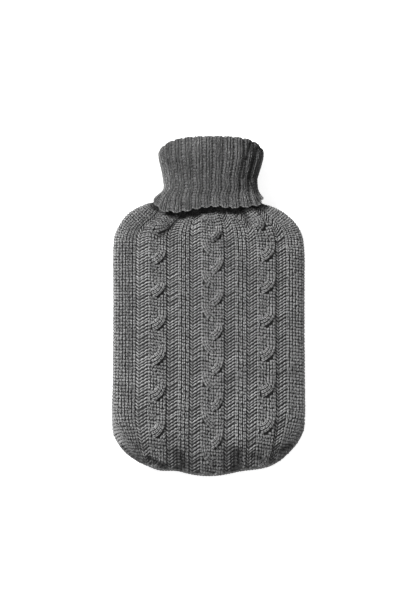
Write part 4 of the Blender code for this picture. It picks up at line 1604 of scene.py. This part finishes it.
# %% Collar grooves
GROOVE_BAR = (0.55, 0.00050, 0.0001, 0.0004)
GROOVE_SHADE = 0.75
groove_bar = bar_shape(1, 5)
bars = []
for wale in range(GROOVE_WALE, COLLAR_WALES, RIB_WALES):
    courses = np.arange(0.4, FOLD_COURSE + INSIDE_COURSES)
    bars += purl_bars(
        COLLAR, groove_bar, wale - 0.5, courses, 1, collar_relief, level, GROOVE_BAR
    )
dress(
    collar_pieces, "ribbed_knit", "collar_purl", groove_bar, bars, GROOVE_SHADE, collar_shade
)

# %% [markdown]
# ## Seams
# The front and back are sewn together all round with the same yarn, which shows as a row
# of slanted stitches over the edge. Each is one grain, set across the seam on the same
# line that the panels end at, so the stitches bridge the small gap between them.
# %% Seam stitches
SEAM_TOP_Y = 0.1150            # the seams end here, under the collar
SEAM_PITCH = 0.0031
SEAM_LENGTH = 0.0024           # half the length of one stitch
SEAM_YARN = 0.00085            # half its thickness
SEAM_INSET = 0.0008
SEAM_UP, SEAM_ALONG = 0.80, 0.60   # its slant


def seam_path():
    """Even points round the side and bottom seams, from the left end of the neck."""
    down = np.linspace(SEAM_TOP_Y, CORNER_START_Y, 500)
    turn = np.linspace(0, np.pi, 500)[1:-1]
    left, right = body_at("left", CORNER_START_Y), body_at("right", CORNER_START_Y)
    bottom_x = (left + right) / 2 - (right - left) / 2 * np.cos(turn)
    x = np.concatenate([body_at("left", down), bottom_x, body_at("right", down[::-1])])
    y = np.concatenate([down, bottom_edge(bottom_x), down[::-1]])
    path = np.stack([x, y, np.full(len(x), SEAM_HEIGHT)], axis=-1)
    length = length_along(path)
    return points_at(path, length, np.arange(0, length[-1], SEAM_PITCH))


# %% Sewing the seams
path = seam_path()
run = np.gradient(path, axis=0)
run /= np.linalg.norm(run, axis=1, keepdims=True)
up = np.array([0, 0, 1.0])
outward = np.cross(run, up)
outward *= np.sign((outward * (path - path.mean(axis=0))).sum(axis=1, keepdims=True))
axis = SEAM_UP * up + SEAM_ALONG * run
side = np.cross(axis, outward)
x, y, z = (a[None, :, None] for a in FULL_GRAIN[0].T)
length = SEAM_LENGTH * (1 + random.normal(0, 0.08, (len(path), 1, 1)))
seam = path[:, None] - outward[:, None] * SEAM_INSET * (0.2 + 1.2 * y**2)
seam = seam + side[:, None] * x * SEAM_YARN + axis[:, None] * y * length
seam = seam + outward[:, None] * z * SEAM_YARN
dress(front_pieces, "cabled_knit", "seam_stitches", FULL_GRAIN, [seam])

# %% [markdown]
# ## Rows along the bottom seam
# Where the front turns under at the bottom, its last rows are pulled flat along the seam
# and show as long stitches side by side. They are laid on the ground's own rows, because
# the courses above run out at the seam at a slant and can't follow it.
# %% Bottom rows
EDGE_ROWS = (                  # how far up the ground's rows, how high, and below which y
    (0.45, 0.0003, -0.1260),
    (1.20, 0.0003, -0.1260),
    (1.95, 0.0001, -0.1300),
    (2.60, -0.0002, -0.1380),
    (3.30, -0.0004, -0.1440),
)
BACK_EDGE_ROWS = (
    (0.05, 0.0004, -0.1200),
    (0.55, 0.0004, -0.1200),
    (1.05, 0.0003, -0.1200),
)
EDGE_LENGTH = 0.0029           # half the length of one of their stitches
EDGE_PITCH = 0.0042
EDGE_YARN = (0.00095, 0.00100)     # half its width and half its thickness
EDGE_SLANT = 0.0005            # how far each end is off the row
EDGE_SLIP, EDGE_UNEVEN = 0.0003, 0.0001    # how much they differ along the seam and in height
EDGE_ROW_STEP = 0.0023         # the ground's rows are about this far apart
EDGE_SHADE = -0.30             # painted light: they lie open and smooth, and are painted lighter


# %% Laying the bottom rows
def edge_stitches(cloth, row, height, from_y):
    """Long stitches that lie along the bottom seam, row steps of the ground above it."""
    across = np.linspace(0, len(cloth.points) - 1, 1200)
    line = cloth.place(across / FINE, np.full(1200, row / FINE), 0.0)
    on_bottom = line[:, 1] < from_y
    across, length = across[on_bottom], length_along(line[on_bottom])
    middles = np.arange(EDGE_PITCH / 2, length[-1], EDGE_PITCH)[:, None]
    x, y, z = FULL_GRAIN[0].T
    along = middles + random.normal(0, EDGE_SLIP, middles.shape) + EDGE_LENGTH * y
    place = np.interp(along, length, across)
    width, thick = EDGE_YARN
    up = row + (width * x + EDGE_SLANT * y) / EDGE_ROW_STEP
    height = height + thick * z + random.normal(0, EDGE_UNEVEN, middles.shape)
    return cloth.place(place / FINE, up / FINE, height)


edges = [edge_stitches(front_cloth, *row) for row in EDGE_ROWS]
dress(
    front_pieces, "cabled_knit", "bottom_edge", FULL_GRAIN, edges, EDGE_SHADE, front_shade
)
edges = [edge_stitches(back_cloth, *row) for row in BACK_EDGE_ROWS]
dress(back_pieces, "plain_knit", "back_edge", FULL_GRAIN, edges)

# %% [markdown]
# ## The bound-off hem
# The last course of the collar is bound off in a chain, so that it can't run. Each link
# is a slanted grain on the hem's line, one for each wale, and lies half below the cloth.
# %% Hem chain
LINK_LENGTH = 0.62             # half the length of one link, in wales
LINK_WIDTH, LINK_SLANT = 0.24, 0.18    # half its width and its slant, in courses
LINK_COURSE, LINK_UNEVEN = 0.05, 0.04  # where it lies, and how much that differs
LINK_YARN = 0.00085            # half its thickness
LINK_RISE = 0.0002
LINK_SHADE = 0.25
x, y, z = FULL_GRAIN[0].T
place = np.arange(COLLAR_WALES)[:, None] + LINK_LENGTH * y
uneven = random.normal(0, LINK_UNEVEN, (COLLAR_WALES, 1))
course = LINK_COURSE + LINK_WIDTH * x + LINK_SLANT * y + uneven
height = collar_relief(place, np.maximum(course, 0)) + LINK_RISE + LINK_YARN * z
links = COLLAR.place(place, np.maximum(course, 0), height)
links[..., 1] += np.minimum(course, 0) * COLLAR_PITCH
dress(collar_pieces, "ribbed_knit", "hem_chain", FULL_GRAIN, [links], LINK_SHADE)
